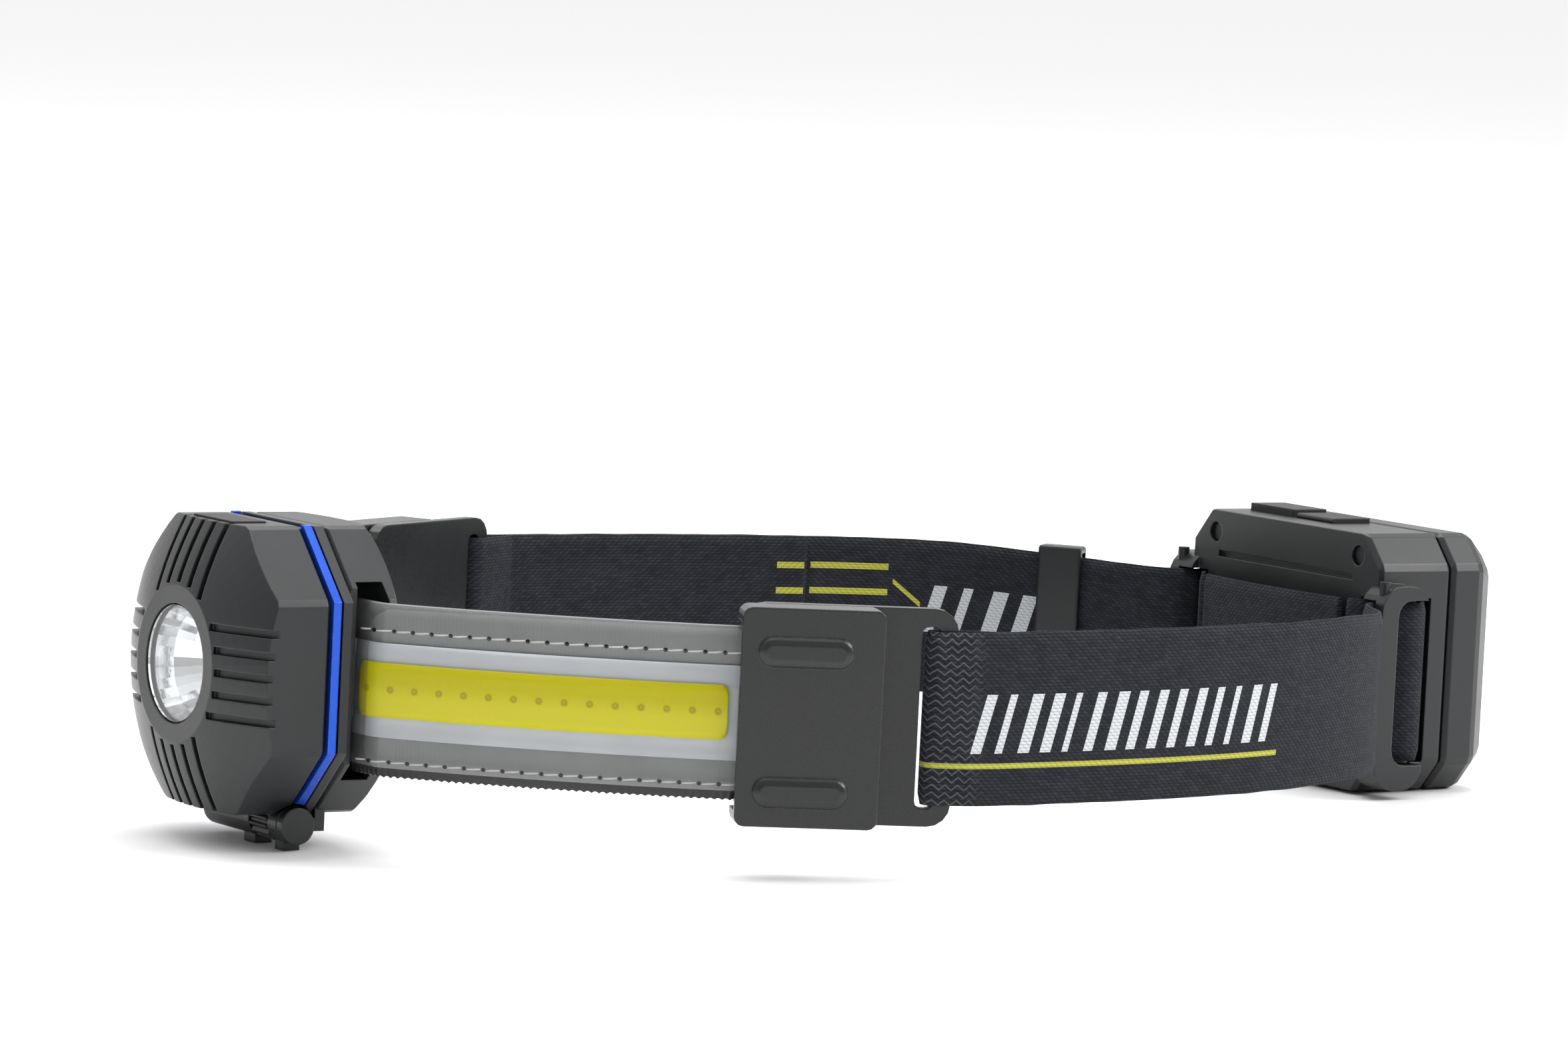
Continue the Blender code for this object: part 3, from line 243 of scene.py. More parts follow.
def edge_mask(t, radius):
    """Bright along edges: where the rounded normal leaves the true one."""
    soft = t.add("ShaderNodeBevel", {"Radius": radius}, samples=6).outputs["Normal"]
    true = t.add("ShaderNodeNewGeometry").outputs["Normal"]
    dot = t.add("ShaderNodeVectorMath", {0: soft, 1: true}, operation="DOT_PRODUCT").outputs["Value"]
    return soft, t.stretch(dot, 0.98, 0.80)


def plastic(name, base, worn, roughness, grain=0.000012, edge=0.0004, metallic=0.0):
    """Fine-grained moulded plastic, rubbed a little lighter along its edges."""
    material, shader, t = new_material(name)
    where = t.add("ShaderNodeTexCoord").outputs["Object"]
    soft, edges = edge_mask(t, edge)
    cloud = t.noise(where, 55, 3)
    fine = t.noise(where, 5200, 2, 0.6)
    scuff = t.math("MULTIPLY", edges, t.stretch(t.noise(where, 420, 4), 0.35, 0.7))
    patch = t.mix(t.stretch(cloud, 0.3, 0.7), colour(*base), colour(*[c * 1.25 for c in base]))
    t.put(t.mix(t.math("MULTIPLY", scuff, 0.6), patch, colour(*worn)), shader.inputs["Base Color"])
    speckle = t.stretch(fine, 0.3, 0.7, -0.05, 0.05)
    rough = t.math("ADD", speckle, t.stretch(cloud, 0.3, 0.7, roughness - 0.03, roughness + 0.03))
    t.put(rough, shader.inputs["Roughness"])
    shader.inputs["Metallic"].default_value = metallic
    t.put(t.bump(fine, grain, 1.0, soft), shader.inputs["Normal"])
    return material


def lens_material():
    """Clear moulded plastic with very faint waves."""
    material, shader, t = new_material("lens_clear")
    where = t.add("ShaderNodeTexCoord").outputs["Object"]
    wave = t.noise(where, 90, 2)
    t.put(t.mix(wave, colour(0.93, 0.95, 0.96), colour(0.98, 0.99, 1.0)), shader.inputs["Base Color"])
    shader.inputs["IOR"].default_value = 1.49
    shader.inputs["Transmission Weight"].default_value = 1.0
    t.put(t.stretch(wave, 0.3, 0.7, 0.01, 0.04), shader.inputs["Roughness"])
    t.put(t.bump(wave, 0.0002, 0.3), shader.inputs["Normal"])
    return material


def film_material():
    """Clear glossy film, pierced by the needle along two rows; each needle hole is filled with painted shade.
    """
    material, shader, t = new_material("bar_film")
    uv = t.add("ShaderNodeTexCoord").outputs["UV"]
    parts = t.add("ShaderNodeSeparateXYZ", {0: uv})
    u, v = parts.outputs["X"], parts.outputs["Y"]
    wave = t.noise(uv, 110, 2)
    step = t.math("FRACT", t.math("DIVIDE", t.math("SUBTRACT", u, STITCH_START), STITCH_PITCH))
    along = t.math("MULTIPLY", t.math("SUBTRACT", step, 0.86), STITCH_PITCH)
    row = t.math("MINIMUM", *[t.math("ABSOLUTE", t.math("SUBTRACT", v, z)) for z in STITCH_ROWS])
    far = t.math("SQRT", t.math("ADD", t.math("POWER", along, 2.0), t.math("POWER", row, 2.0)))
    # Each needle hole is drawn as an opaque near-black spot: painted shade inside the hole.
    hole_shade = t.math("MULTIPLY", t.stretch(far, 0.00042, 0.0003), t.between(u, STITCH_START, STITCH_END))
    t.put(t.mix(hole_shade, colour(0.05, 0.05, 0.05), colour(0.006, 0.006, 0.006)), shader.inputs["Base Color"])
    shine = t.add("ShaderNodeLayerWeight", {"Blend": 0.25}).outputs["Fresnel"]
    t.put(t.math("MAXIMUM", t.stretch(shine, 0.0, 1.0, 0.03, 0.4), hole_shade), shader.inputs["Alpha"])
    t.put(t.stretch(wave, 0.3, 0.7, 0.05, 0.12), shader.inputs["Roughness"])
    t.put(t.bump(wave, 0.0006, 0.5), shader.inputs["Normal"])
    return material


def metal(name, base, roughness):
    """Bare metal, a little cloudy and very finely pitted."""
    material, shader, t = new_material(name)
    where = t.add("ShaderNodeTexCoord").outputs["Object"]
    cloud = t.noise(where, 260, 3)
    t.put(t.mix(cloud, colour(*[c * 0.85 for c in base]), colour(*base)), shader.inputs["Base Color"])
    shader.inputs["Metallic"].default_value = 1.0
    t.put(t.stretch(cloud, 0.2, 0.8, roughness * 0.7, roughness * 1.3), shader.inputs["Roughness"])
    t.put(t.bump(t.noise(where, 1900, 2), 0.00001), shader.inputs["Normal"])
    return material


def knit_material(name, marks=None):
    """Dark heathered weave, painted darker in the gaps between yarns as painted shade; u runs along the band
    and v is the height, in metres.

    On the inner face v is INNER_SHIFT higher.
    """
    material, shader, t = new_material(name)
    uv = t.add("ShaderNodeTexCoord").outputs["UV"]
    parts = t.add("ShaderNodeSeparateXYZ", {0: uv})
    u, raised = parts.outputs["X"], parts.outputs["Y"]
    inner = t.math("GREATER_THAN", raised, INNER_SHIFT / 2)
    v = t.math("SUBTRACT", raised, t.math("MULTIPLY", inner, INNER_SHIFT))
    # Bricks of yarn with slanted ends, every other row shifted by half a brick.
    level = t.math("DIVIDE", t.math("ADD", v, INNER_SHIFT), YARN_HEIGHT)
    row = t.math("FLOOR", level)
    rise = t.math("FRACT", level)
    place = t.math("ADD", t.math("DIVIDE", u, YARN_LENGTH), t.math("MULTIPLY", row, 0.5))
    place = t.math("ADD", place, t.math("MULTIPLY", rise, 0.45))
    across = t.math("SINE", t.math("MULTIPLY", t.math("FRACT", place), math.pi))
    upward = t.math("SINE", t.math("MULTIPLY", rise, math.pi))
    yarn = t.math("MULTIPLY", t.math("POWER", across, 0.45), t.math("POWER", upward, 0.45))
    cell = t.add("ShaderNodeCombineXYZ", {0: row, 1: t.math("FLOOR", place), 2: inner}).outputs[0]
    fleck = t.add("ShaderNodeTexWhiteNoise", {"Vector": cell}).outputs["Value"]
    fibre = t.noise(uv, 6000, 2, 0.7)
    cloud = t.noise(uv, 220, 3)
    # The colour follows the yarn's height, so the gaps between yarns are painted shade; the flecks, fibres and
    # cloud are the yarn's own tone.
    tone_and_gap_shade = t.math("MULTIPLY", yarn, t.stretch(fleck, 0.0, 1.0, 0.45, 1.0))
    tone_and_gap_shade = t.math("ADD", t.math("MULTIPLY", tone_and_gap_shade, 0.65), t.math("MULTIPLY", fibre, 0.2))
    tone_and_gap_shade = t.math("ADD", tone_and_gap_shade, t.stretch(cloud, 0.3, 0.7, -0.06, 0.10))
    cloth = t.mix(tone_and_gap_shade, colour(0.002, 0.0022, 0.003), colour(0.040, 0.044, 0.056))
    if marks:
        cloth = marks(t, u, v, inner, yarn, cloth)
    t.put(cloth, shader.inputs["Base Color"])
    shader.inputs["Roughness"].default_value = 0.92
    shader.inputs["Specular IOR Level"].default_value = 0.2
    shader.inputs["Sheen Weight"].default_value = 0.03
    shader.inputs["Sheen Roughness"].default_value = 0.5
    height = t.math("ADD", yarn, t.math("MULTIPLY", fibre, 0.35))
    t.put(t.bump(height, 0.00018, 0.9), shader.inputs["Normal"])
    return material


# ---------------------------------------------------------------- loop line, as in the CAD model

def trace_loop(count=1200):
    points = []
    for k in range(count + 1):
        u = -math.cos(math.pi * k / count)
        depth, power = (LOOP_FRONT_DEPTH, LOOP_FRONT_POWER) if u < 0 else (LOOP_REAR_DEPTH, LOOP_REAR_POWER)
        x = LOOP_HALF_WIDTH * max(0.0, 1 - abs(u) ** power) ** (1 / power)
        points.append(Vector((x, LOOP_CENTRE_Y + depth * u)))
    lengths = [0.0]
    for a, b in zip(points, points[1:]):
        lengths.append(lengths[-1] + (b - a).length)
    return points, lengths


LOOP_POINTS, LOOP_LENGTHS = trace_loop()


def loop_at(s):
    i = 1
    while i < len(LOOP_LENGTHS) - 1 and LOOP_LENGTHS[i] < s:
        i += 1
    a, b = LOOP_POINTS[i - 1], LOOP_POINTS[i]
    share = (s - LOOP_LENGTHS[i - 1]) / (LOOP_LENGTHS[i] - LOOP_LENGTHS[i - 1])
    return a.lerp(b, share), (b - a).normalized()


def loop_point(s, out):
    point, tangent = loop_at(s)
    return point + Vector((tangent.y, -tangent.x)) * out


def bar_path():
    start = Vector((17 * MM, -87.5 * MM))
    joint, tangent = loop_at(BAR_START)
    corner = joint - tangent * ((joint.y - start.y) / tangent.y)
    points = []
    for k in range(13):
        t = k / 12
        points.append(start * (1 - t) ** 2 + corner * 2 * t * (1 - t) + joint * t * t)
    for k in range(1, 41):
        points.append(loop_at(BAR_START + (BAR_END - BAR_START) * k / 40)[0])
    return points


def buckle_turn():
    a, b = loop_point(LID_START, 0), loop_point(PLATE_END, 1.0 * MM)
    along = (b - a).normalized()
    normal = Vector((along.y, -along.x))

    def local(s, out):
        return b + along * (s - PLATE_END) + normal * out

    inner, outer = -5.2 * MM, -0.9 * MM
    radius = (outer - inner) / 2
    points = [local(PLATE_END + 1.6 * MM, inner + 0.2 * MM), local(PLATE_END - 0.4 * MM, inner)]
    for k in range(13):
        angle = math.pi * k / 12
        s = SLOT_END - 0.1 * MM - 1.8 * MM * math.sin(angle)
        points.append(local(s, inner + radius - radius * math.cos(angle)))
    return points + [local(PLATE_END - 0.4 * MM, outer), local(PLATE_END + 2.2 * MM, outer - 0.2 * MM)]


def post_turn():
    places = ((39.9, 112.8), (35.4, 115.2), (32.0, 117.5), (29.8, 120.2), (29.2, 123.2), (30.0, 125.4))
    points = [Vector((x * MM, y * MM)) for x, y in places]
    radius = POST_RADIUS + 0.55 * MM + STRAP_HALF_THICKNESS
    for k in range(13):
        angle = math.radians(-28 + 208 * k / 12)
        points.append(POST + radius * Vector((math.cos(angle), math.sin(angle))))
    places = ((25.3, 124.0), (24.9, 121.9), (22.4, 120.5))
    return points + [Vector((x * MM, y * MM)) for x, y in places]


def band_path():
    points = [loop_point((200 - 63 * k / 20) * MM, -0.9 * MM) for k in range(21)]
    points += buckle_turn()
    points += [loop_point((137 + 118 * k / 40) * MM, 0.75 * MM) for k in range(41)]
    return points + post_turn()


def settle(y):
    """How far the band drops where it nears the battery box's windows."""
    share = min(max((y - 84 * MM) / (36 * MM), 0.0), 1.0)
    return WINDOW_Z * share * share * (3 - 2 * share)


class Path:
    """A line in plan that can be read at any distance along it."""

    def __init__(self, points):
        self.points = points
        self.lengths = [0.0]
        for a, b in zip(points, points[1:]):
            self.lengths.append(self.lengths[-1] + (b - a).length)
        self.total = self.lengths[-1]

    def normals(self):
        found = []
        last = len(self.points) - 1
        for i in range(last + 1):
            tangent = (self.points[min(i + 1, last)] - self.points[max(i - 1, 0)]).normalized()
            found.append(Vector((tangent.y, -tangent.x)))
        return found

    def at(self, s):
        """Point and outward normal at distance s, smoothed between the path's points."""
        if not hasattr(self, "_normals"):
            self._normals = self.normals()
        s = min(max(s, 0.0), self.total)
        i = 1
        while i < len(self.lengths) - 1 and self.lengths[i] < s:
            i += 1
        span = self.lengths[i] - self.lengths[i - 1]
        share = (s - self.lengths[i - 1]) / span if span else 0.0
        normal = self._normals[i - 1].lerp(self._normals[i], share).normalized()
        return self.points[i - 1].lerp(self.points[i], share), normal


# ---------------------------------------------------------------- mesh helpers

def new_piece(name, mesh, material, body):
    """A piece of the object, drawn level, that rides on a CAD body."""
    mesh.transform(LEVEL)
    mesh.materials.append(material)
    piece = bpy.data.objects.new(name, mesh)
    bpy.context.scene.collection.objects.link(piece)
    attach(piece, body)
    return piece


def finish_mesh(name, bm):
    """Mesh with outward, smoothly shaded faces."""
    bmesh.ops.recalc_face_normals(bm, faces=bm.faces)
    for face in bm.faces:
        face.smooth = True
    mesh = bpy.data.meshes.new(name)
    bm.to_mesh(mesh)
    bm.free()
    return mesh


def section(low, high, inner, outer, rows, edge):
    """Closed cross-section of a strip as (height, out) points, with rounded long edges."""
    points = []
    for side, start, end in ((outer, low, high), (inner, high, low)):
        for k in range(rows + 1):
            share = k / rows
            z = start + (end - start) * share
            points.append([z, side])
    middle = (outer + inner) / 2
    for point in points:
        near = min(point[0] - low, high - point[0])
        if near < edge:
            squeeze = math.sqrt(max(0.0, 1 - (1 - near / edge) ** 2))
            point[1] = middle + (point[1] - middle) * (0.35 + 0.65 * squeeze)
    return points


def strip(name, path, stations, shape, side, drop=None):
    """Strip swept along a path; shape(s) gives its cross-section at each station.

    The first half of the cross-section is the outer face; the other half's v is INNER_SHIFT higher.
    """
    bm = bmesh.new()
    layer = bm.loops.layers.uv.new("UVMap")
    rings = []
    where = {}
    for s in stations:
        point, normal = path.at(s)
        ring = []
        outline = shape(s)
        for number, (z, out) in enumerate(outline):
            place = point + normal * out
            fall = drop(place.y) if drop else 0.0
            vert = bm.verts.new((side * place.x, place.y, z + fall))
            where[vert] = (s, z, number >= len(outline) // 2)
            ring.append(vert)
        rings.append(ring)
    count = len(rings[0])
    for a, b in zip(rings, rings[1:]):
        for i in range(count):
            j = (i + 1) % count
            bm.faces.new((a[i], a[j], b[j], b[i]))
    bm.faces.new(rings[0])
    bm.faces.new(rings[-1])
    for face in bm.faces:
        lift = INNER_SHIFT if all(where[vert][2] for vert in face.verts) else 0.0
        for loop in face.loops:
            s, z, _ = where[loop.vert]
            loop[layer].uv = (s, z + lift)
    return finish_mesh(name, bm)


def steps(start, end, count):
    return [start + (end - start) * k / count for k in range(count + 1)]


# ---------------------------------------------------------------- band

BAND = Path(band_path())
BAR = Path(bar_path())


# Distance along the band where the loop line's own distance would be zero, on the outer layer.
LOOP_ZERO = BAND.lengths[21 + len(buckle_turn())] - 137 * MM


YELLOW_ROWS = ((8.6 * MM, 9.8 * MM), (3.7 * MM, 4.9 * MM))


def slanted_bars(t, u, v, start, end, low, high, pitch):
    """Upright bars of uneven width between two distances and two heights."""
    local = t.math("SUBTRACT", t.math("SUBTRACT", u, t.math("MULTIPLY", v, 0.28)), LOOP_ZERO + start)
    area = t.math("MULTIPLY", t.between(local, 0.0, end - start), t.between(v, low, high))
    place = t.math("DIVIDE", local, pitch)
    chance = t.add("ShaderNodeTexWhiteNoise", {"W": t.math("FLOOR", place)}, noise_dimensions="1D")
    width = t.stretch(chance.outputs["Value"], 0.0, 1.0, 0.28, 0.55)
    bar = t.math("LESS_THAN", t.math("FRACT", place), width)
    return t.math("MULTIPLY", bar, area)


def block(t, u, v, start, end, low, high):
    along = t.between(u, LOOP_ZERO + start, LOOP_ZERO + end)
    return t.math("MULTIPLY", along, t.between(v, low, high))


def open_knit(t, u, v):
    """Zigzags of lighter yarn where the band is stretched round the buckle's bar."""
    up = t.math("ABSOLUTE", t.math("SUBTRACT", t.math("FRACT", t.math("DIVIDE", u, 2.1 * MM)), 0.5))
    place = t.math("FRACT", t.math("ADD", t.math("DIVIDE", v, 1.3 * MM), t.math("MULTIPLY", up, 1.4)))
    line = t.stretch(t.math("ABSOLUTE", t.math("SUBTRACT", place, 0.5)), 0.16, 0.08)
    near = t.stretch(u, LOOP_ZERO + 134.5 * MM, LOOP_ZERO + 130 * MM)
    past = t.math("GREATER_THAN", u, LOOP_ZERO + 122 * MM)
    return t.math("MULTIPLY", t.math("MULTIPLY", line, t.math("MULTIPLY", near, past)), 0.4)


def outer_print(t, u, v, inner, yarn, cloth):
    """Slanted white bars over a yellow line, in place of printed words."""
    outside = t.math("SUBTRACT", 1.0, inner)
    # The print is dimmed where the yarn is low: painted shade in the gaps between yarns.
    ink_and_gap_shade = t.math("MULTIPLY", t.stretch(yarn, 0.1, 0.6, 0.55, 1.0), outside)
    bars = slanted_bars(t, u, v, 133 * MM, 202 * MM, -5.7 * MM, 4.3 * MM, 4.6 * MM)
    line = block(t, u, v, 122 * MM, 201 * MM, -8.3 * MM, -7.4 * MM)
    cloth = t.mix(t.math("MULTIPLY", open_knit(t, u, v), outside), cloth, colour(0.20, 0.21, 0.24))
    cloth = t.mix(t.math("MULTIPLY", bars, ink_and_gap_shade), cloth, colour(0.66, 0.68, 0.70))
    return t.mix(t.math("MULTIPLY", line, ink_and_gap_shade), cloth, colour(0.50, 0.50, 0.08))


def inner_print(t, u, v, inner, yarn, cloth):
    """Two yellow bars, a slanted yellow line and white blocks on the inner face."""
    # The print is dimmed where the yarn is low: painted shade in the gaps between yarns.
    ink_and_gap_shade = t.math("MULTIPLY", t.stretch(yarn, 0.1, 0.6, 0.5, 1.0), inner)
    upper, lower = [block(t, u, v, 201.5 * MM, 217 * MM, *span) for span in YELLOW_ROWS]
    slope_start, slope_end = LOOP_ZERO + 218 * MM, LOOP_ZERO + 223.5 * MM
    fall = t.math("ADD", v, t.math("MULTIPLY", t.math("SUBTRACT", u, slope_start), 0.8))
    slope = t.math("MULTIPLY", t.between(fall, 6 * MM, 7 * MM), t.between(u, slope_start, slope_end))
    yellow = t.math("MAXIMUM", t.math("MAXIMUM", upper, lower), slope)
    # The inner layer's face towards the head is drawn as its outer face, as its path runs backwards.
    heights = t.math("MAXIMUM", *[t.between(v, *span) for span in YELLOW_ROWS])
    early = t.math("MULTIPLY", t.between(u, 0.5 * MM, 6 * MM), heights)
    early = t.math("MULTIPLY", early, t.math("SUBTRACT", 1.0, inner))
    # Also dimmed where the yarn is low: painted shade in the gaps between yarns.
    early = t.math("MULTIPLY", early, t.stretch(yarn, 0.1, 0.6, 0.5, 1.0))
    cloth = t.mix(early, cloth, colour(0.48, 0.47, 0.07))
    white = slanted_bars(t, u, v, 224.5 * MM, 245.5 * MM, -3 * MM, 6 * MM, 5.8 * MM)
    cloth = t.mix(t.math("MULTIPLY", yellow, ink_and_gap_shade), cloth, colour(0.48, 0.47, 0.07))
    return t.mix(t.math("MULTIPLY", white, ink_and_gap_shade), cloth, colour(0.55, 0.57, 0.59))


def make_bands():
    knits = {"left": knit_material("band_knit_left", outer_print),
             "right": knit_material("band_knit_right", inner_print)}
    for label, side in SIDES:
        wander = side * 7.0

        def shape(s):
            sway = 0.12 * MM * noise.noise(Vector((s * 160, wander, 0)))
            return section(-BAND_HALF + 0.1 * MM + sway, BAND_HALF - 0.1 * MM + sway,
                           -STRAP_HALF_THICKNESS, STRAP_HALF_THICKNESS, 16, 0.9 * MM)

        stations = sorted(set(steps(0, BAND.total, 230) + BAND.lengths))
        mesh = strip(f"band_{label}", BAND, stations, shape, side, settle)
        piece = new_piece(f"band_{label}", mesh, knits[label], "headband")
        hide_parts(f"elastic_band_{label}")
    make_bridge()


def make_bridge():
    """Stretch of band across the battery box's inner face."""
    half = 20.8 * MM
    points = []
    for k in range(25):
        x = half * (1 - k / 12)
        points.append(Vector((x, 120.0 * MM - 1.6 * MM * (1 - (x / half) ** 2))))
    path = Path(points)

    def shape(s):
        return section(WINDOW_Z - BAND_HALF + 0.1 * MM, WINDOW_Z + BAND_HALF - 0.1 * MM,
                       -STRAP_HALF_THICKNESS, STRAP_HALF_THICKNESS, 16, 0.9 * MM)

    mesh = strip("nape_band", path, steps(0, path.total, 60), shape, 1)
    piece = new_piece("nape_band", mesh, knit_material("bridge_knit"), "headband")
    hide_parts("band_bridge")


# ---------------------------------------------------------------- light bars

GLOW_START = 5.2 * MM
GLOW_END = 69.2 * MM
GLOW_CORNER = 1.4 * MM
TOOTH_PITCH = 1.3 * MM


def tape_section(s):
    tooth = 0.35 * MM * abs(math.sin(s * math.pi / TOOTH_PITCH))
    return section(-15.0 * MM + tooth, 14.6 * MM, -1.6 * MM, -0.4 * MM, 14, 0.5 * MM)


def board_section(s):
    return section(-8.1 * MM, 7.95 * MM, -0.1 * MM, 0.4 * MM, 4, 0.1 * MM)


def glow_section(s):
    near = min(s - GLOW_START, GLOW_END - s, GLOW_CORNER)
    pull = GLOW_CORNER - math.sqrt(max(0.0, GLOW_CORNER ** 2 - (GLOW_CORNER - near) ** 2))
    return section(-4.6 * MM + pull, 4.7 * MM - pull, 0.7 * MM, 1.1 * MM, 8, 0.8 * MM)


def cover_section(s):
    return section(-13.2 * MM, 14.7 * MM, 1.4 * MM, 1.7 * MM, 6, 0.3 * MM)


def make_bars():
    """Each bar's tape, board, glowing strip and film, one over another, and the sewing on the film."""
    first, last = GLOW_START + GLOW_CORNER, GLOW_END - GLOW_CORNER
    ends = steps(GLOW_START, first, 8) + steps(last, GLOW_END, 8)
    glow_stations = sorted(set(ends + steps(first, last, 60)))
    layers = (
        ("bar_tape", "bar_backing", tape_material(), "knit", steps(0, 88.6 * MM, 280), tape_section),
        ("bar_circuit", "bar_board", board_material(), "white", steps(1.5 * MM, 88.6 * MM, 60), board_section),
        ("bar_glow", "bar_phosphor", phosphor_material(), "phosphor", glow_stations, glow_section),
        ("bar_cover", "bar_film", film_material(), "clear", steps(0.8 * MM, 87.6 * MM, 60), cover_section))
    thread = thread_material()
    for label, side in SIDES:
        for name, node, material, slot, stations, shape in layers:
            mesh = strip(f"{name}_{label}", BAR, stations, shape, side)
            piece = new_piece(f"{name}_{label}", mesh, material, "headband")
            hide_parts(f"{node}_{label}")
        make_stitches(label, side, thread)


def tape_material():
    """Grey tape with a black woven edge below; the face towards the head is black too."""
    material, shader, t = new_material("bar_tape")
    uv = t.add("ShaderNodeTexCoord").outputs["UV"]
    parts = t.add("ShaderNodeSeparateXYZ", {0: uv})
    u, v = parts.outputs["X"], parts.outputs["Y"]
    weave = t.math("SINE", t.math("MULTIPLY", u, 2 * math.pi / (0.7 * MM)))
    cloud = t.noise(uv, 140, 3)
    grey = t.mix(cloud, colour(0.22, 0.225, 0.225), colour(0.28, 0.285, 0.285))
    dark = t.mix(t.noise(uv, 2600, 2), colour(0.003, 0.003, 0.003), colour(0.016, 0.017, 0.019))
    away = t.math("MAXIMUM", t.math("LESS_THAN", v, -13.3 * MM), t.math("GREATER_THAN", v, INNER_SHIFT / 2))
    t.put(t.mix(away, grey, dark), shader.inputs["Base Color"])
    shader.inputs["Roughness"].default_value = 0.6
    shader.inputs["Coat Weight"].default_value = 0.4
    shader.inputs["Coat Roughness"].default_value = 0.12
    t.put(t.bump(t.math("MULTIPLY", weave, t.noise(uv, 2400, 2)), 0.000015), shader.inputs["Normal"])
    return material


def board_material():
    """White flexible circuit board under a glossy lacquer."""
    material, shader, t = new_material("bar_circuit")
    uv = t.add("ShaderNodeTexCoord").outputs["UV"]
    cloud = t.noise(uv, 90, 2)
    t.put(t.mix(cloud, colour(0.50, 0.53, 0.56), colour(0.60, 0.63, 0.66)), shader.inputs["Base Color"])
    shader.inputs["Roughness"].default_value = 0.45
    shader.inputs["Coat Weight"].default_value = 0.7
    shader.inputs["Coat Roughness"].default_value = 0.08
    t.put(t.bump(t.noise(uv, 900, 2), 0.00002), shader.inputs["Normal"])
    return material


CHIP_START = 9.5 * MM
CHIP_PITCH = 4.3 * MM
CHIP_HEIGHT = 0.2 * MM


def phosphor_material():
    """Yellow silicone over a row of fifteen small chips."""
    material, shader, t = new_material("bar_phosphor")
    uv = t.add("ShaderNodeTexCoord").outputs["UV"]
    parts = t.add("ShaderNodeSeparateXYZ", {0: uv})
    u, v = parts.outputs["X"], parts.outputs["Y"]
    place = t.math("DIVIDE", t.math("SUBTRACT", u, CHIP_START), CHIP_PITCH)
    across = t.math("MULTIPLY", t.math("SUBTRACT", t.math("FRACT", place), 0.5), CHIP_PITCH)
    above = t.math("SUBTRACT", v, CHIP_HEIGHT)
    far = t.math("SQRT", t.math("ADD", t.math("POWER", across, 2.0), t.math("POWER", above, 2.0)))
    chip = t.stretch(far, 0.8 * MM, 0.4 * MM)
    core = t.stretch(far, 0.3 * MM, 0.15 * MM)
    upper = t.stretch(v, -1.2 * MM, 1.6 * MM)
    yellow = t.mix(upper, colour(0.80, 0.74, 0.028), colour(0.66, 0.60, 0.0))
    spotted = t.mix(t.math("MULTIPLY", chip, 0.7), yellow, colour(0.34, 0.27, 0.0))
    spotted = t.mix(t.math("MULTIPLY", core, 0.6), spotted, colour(0.62, 0.60, 0.05))
    t.put(spotted, shader.inputs["Base Color"])
    shader.inputs["Roughness"].default_value = 0.5
    shader.inputs["Specular IOR Level"].default_value = 0.15
    shader.inputs["Coat Weight"].default_value = 0.25
    shader.inputs["Coat Roughness"].default_value = 0.08
    t.put(t.bump(t.noise(uv, 500, 2), 0.00004), shader.inputs["Normal"])
    return material


def thread_material():
    """Pale twisted thread."""
    material, shader, t = new_material("bar_thread")
    where = t.add("ShaderNodeTexCoord").outputs["Object"]
    twist = t.noise(where, 6000, 2)
    t.put(t.mix(twist, colour(0.36, 0.36, 0.34), colour(0.66, 0.66, 0.63)), shader.inputs["Base Color"])
    shader.inputs["Roughness"].default_value = 0.8
    t.put(t.bump(twist, 0.00006), shader.inputs["Normal"])
    return material


def make_stitches(label, side, thread):
    """Two rows of stitches along the film, each stitch a short arched thread."""
    bm = bmesh.new()
    rng = random.Random(11 + side)
    for z in STITCH_ROWS:
        s = STITCH_START
        while s < STITCH_END - STITCH_PITCH:
            rings = []
            for k in range(7):
                share = k / 6
                point, normal = BAR.at(s + STITCH_LENGTH * share)
                lift = 1.72 * MM + 0.16 * MM * math.sin(math.pi * share)
                centre = point + normal * lift
                height = z + 0.18 * MM * (share - 0.5) + rng.uniform(-0.02, 0.02) * MM
                radius = 0.17 * MM * (0.45 + 0.55 * math.sin(math.pi * min(max(share, 0.08), 0.92)) ** 0.5)
                ring = []
                for q in range(6):
                    angle = 2 * math.pi * q / 6
                    spot = centre + normal * radius * math.cos(angle)
                    ring.append(bm.verts.new((side * spot.x, spot.y, height + radius * math.sin(angle))))
                rings.append(ring)
            for a, b in zip(rings, rings[1:]):
                for i in range(6):
                    bm.faces.new((a[i], a[(i + 1) % 6], b[(i + 1) % 6], b[i]))
            bm.faces.new(rings[0])
            bm.faces.new(rings[-1])
            s += STITCH_PITCH
    new_piece(f"bar_stitches_{label}", finish_mesh(f"bar_stitches_{label}", bm), thread, "headband")


# ---------------------------------------------------------------- forehead pad

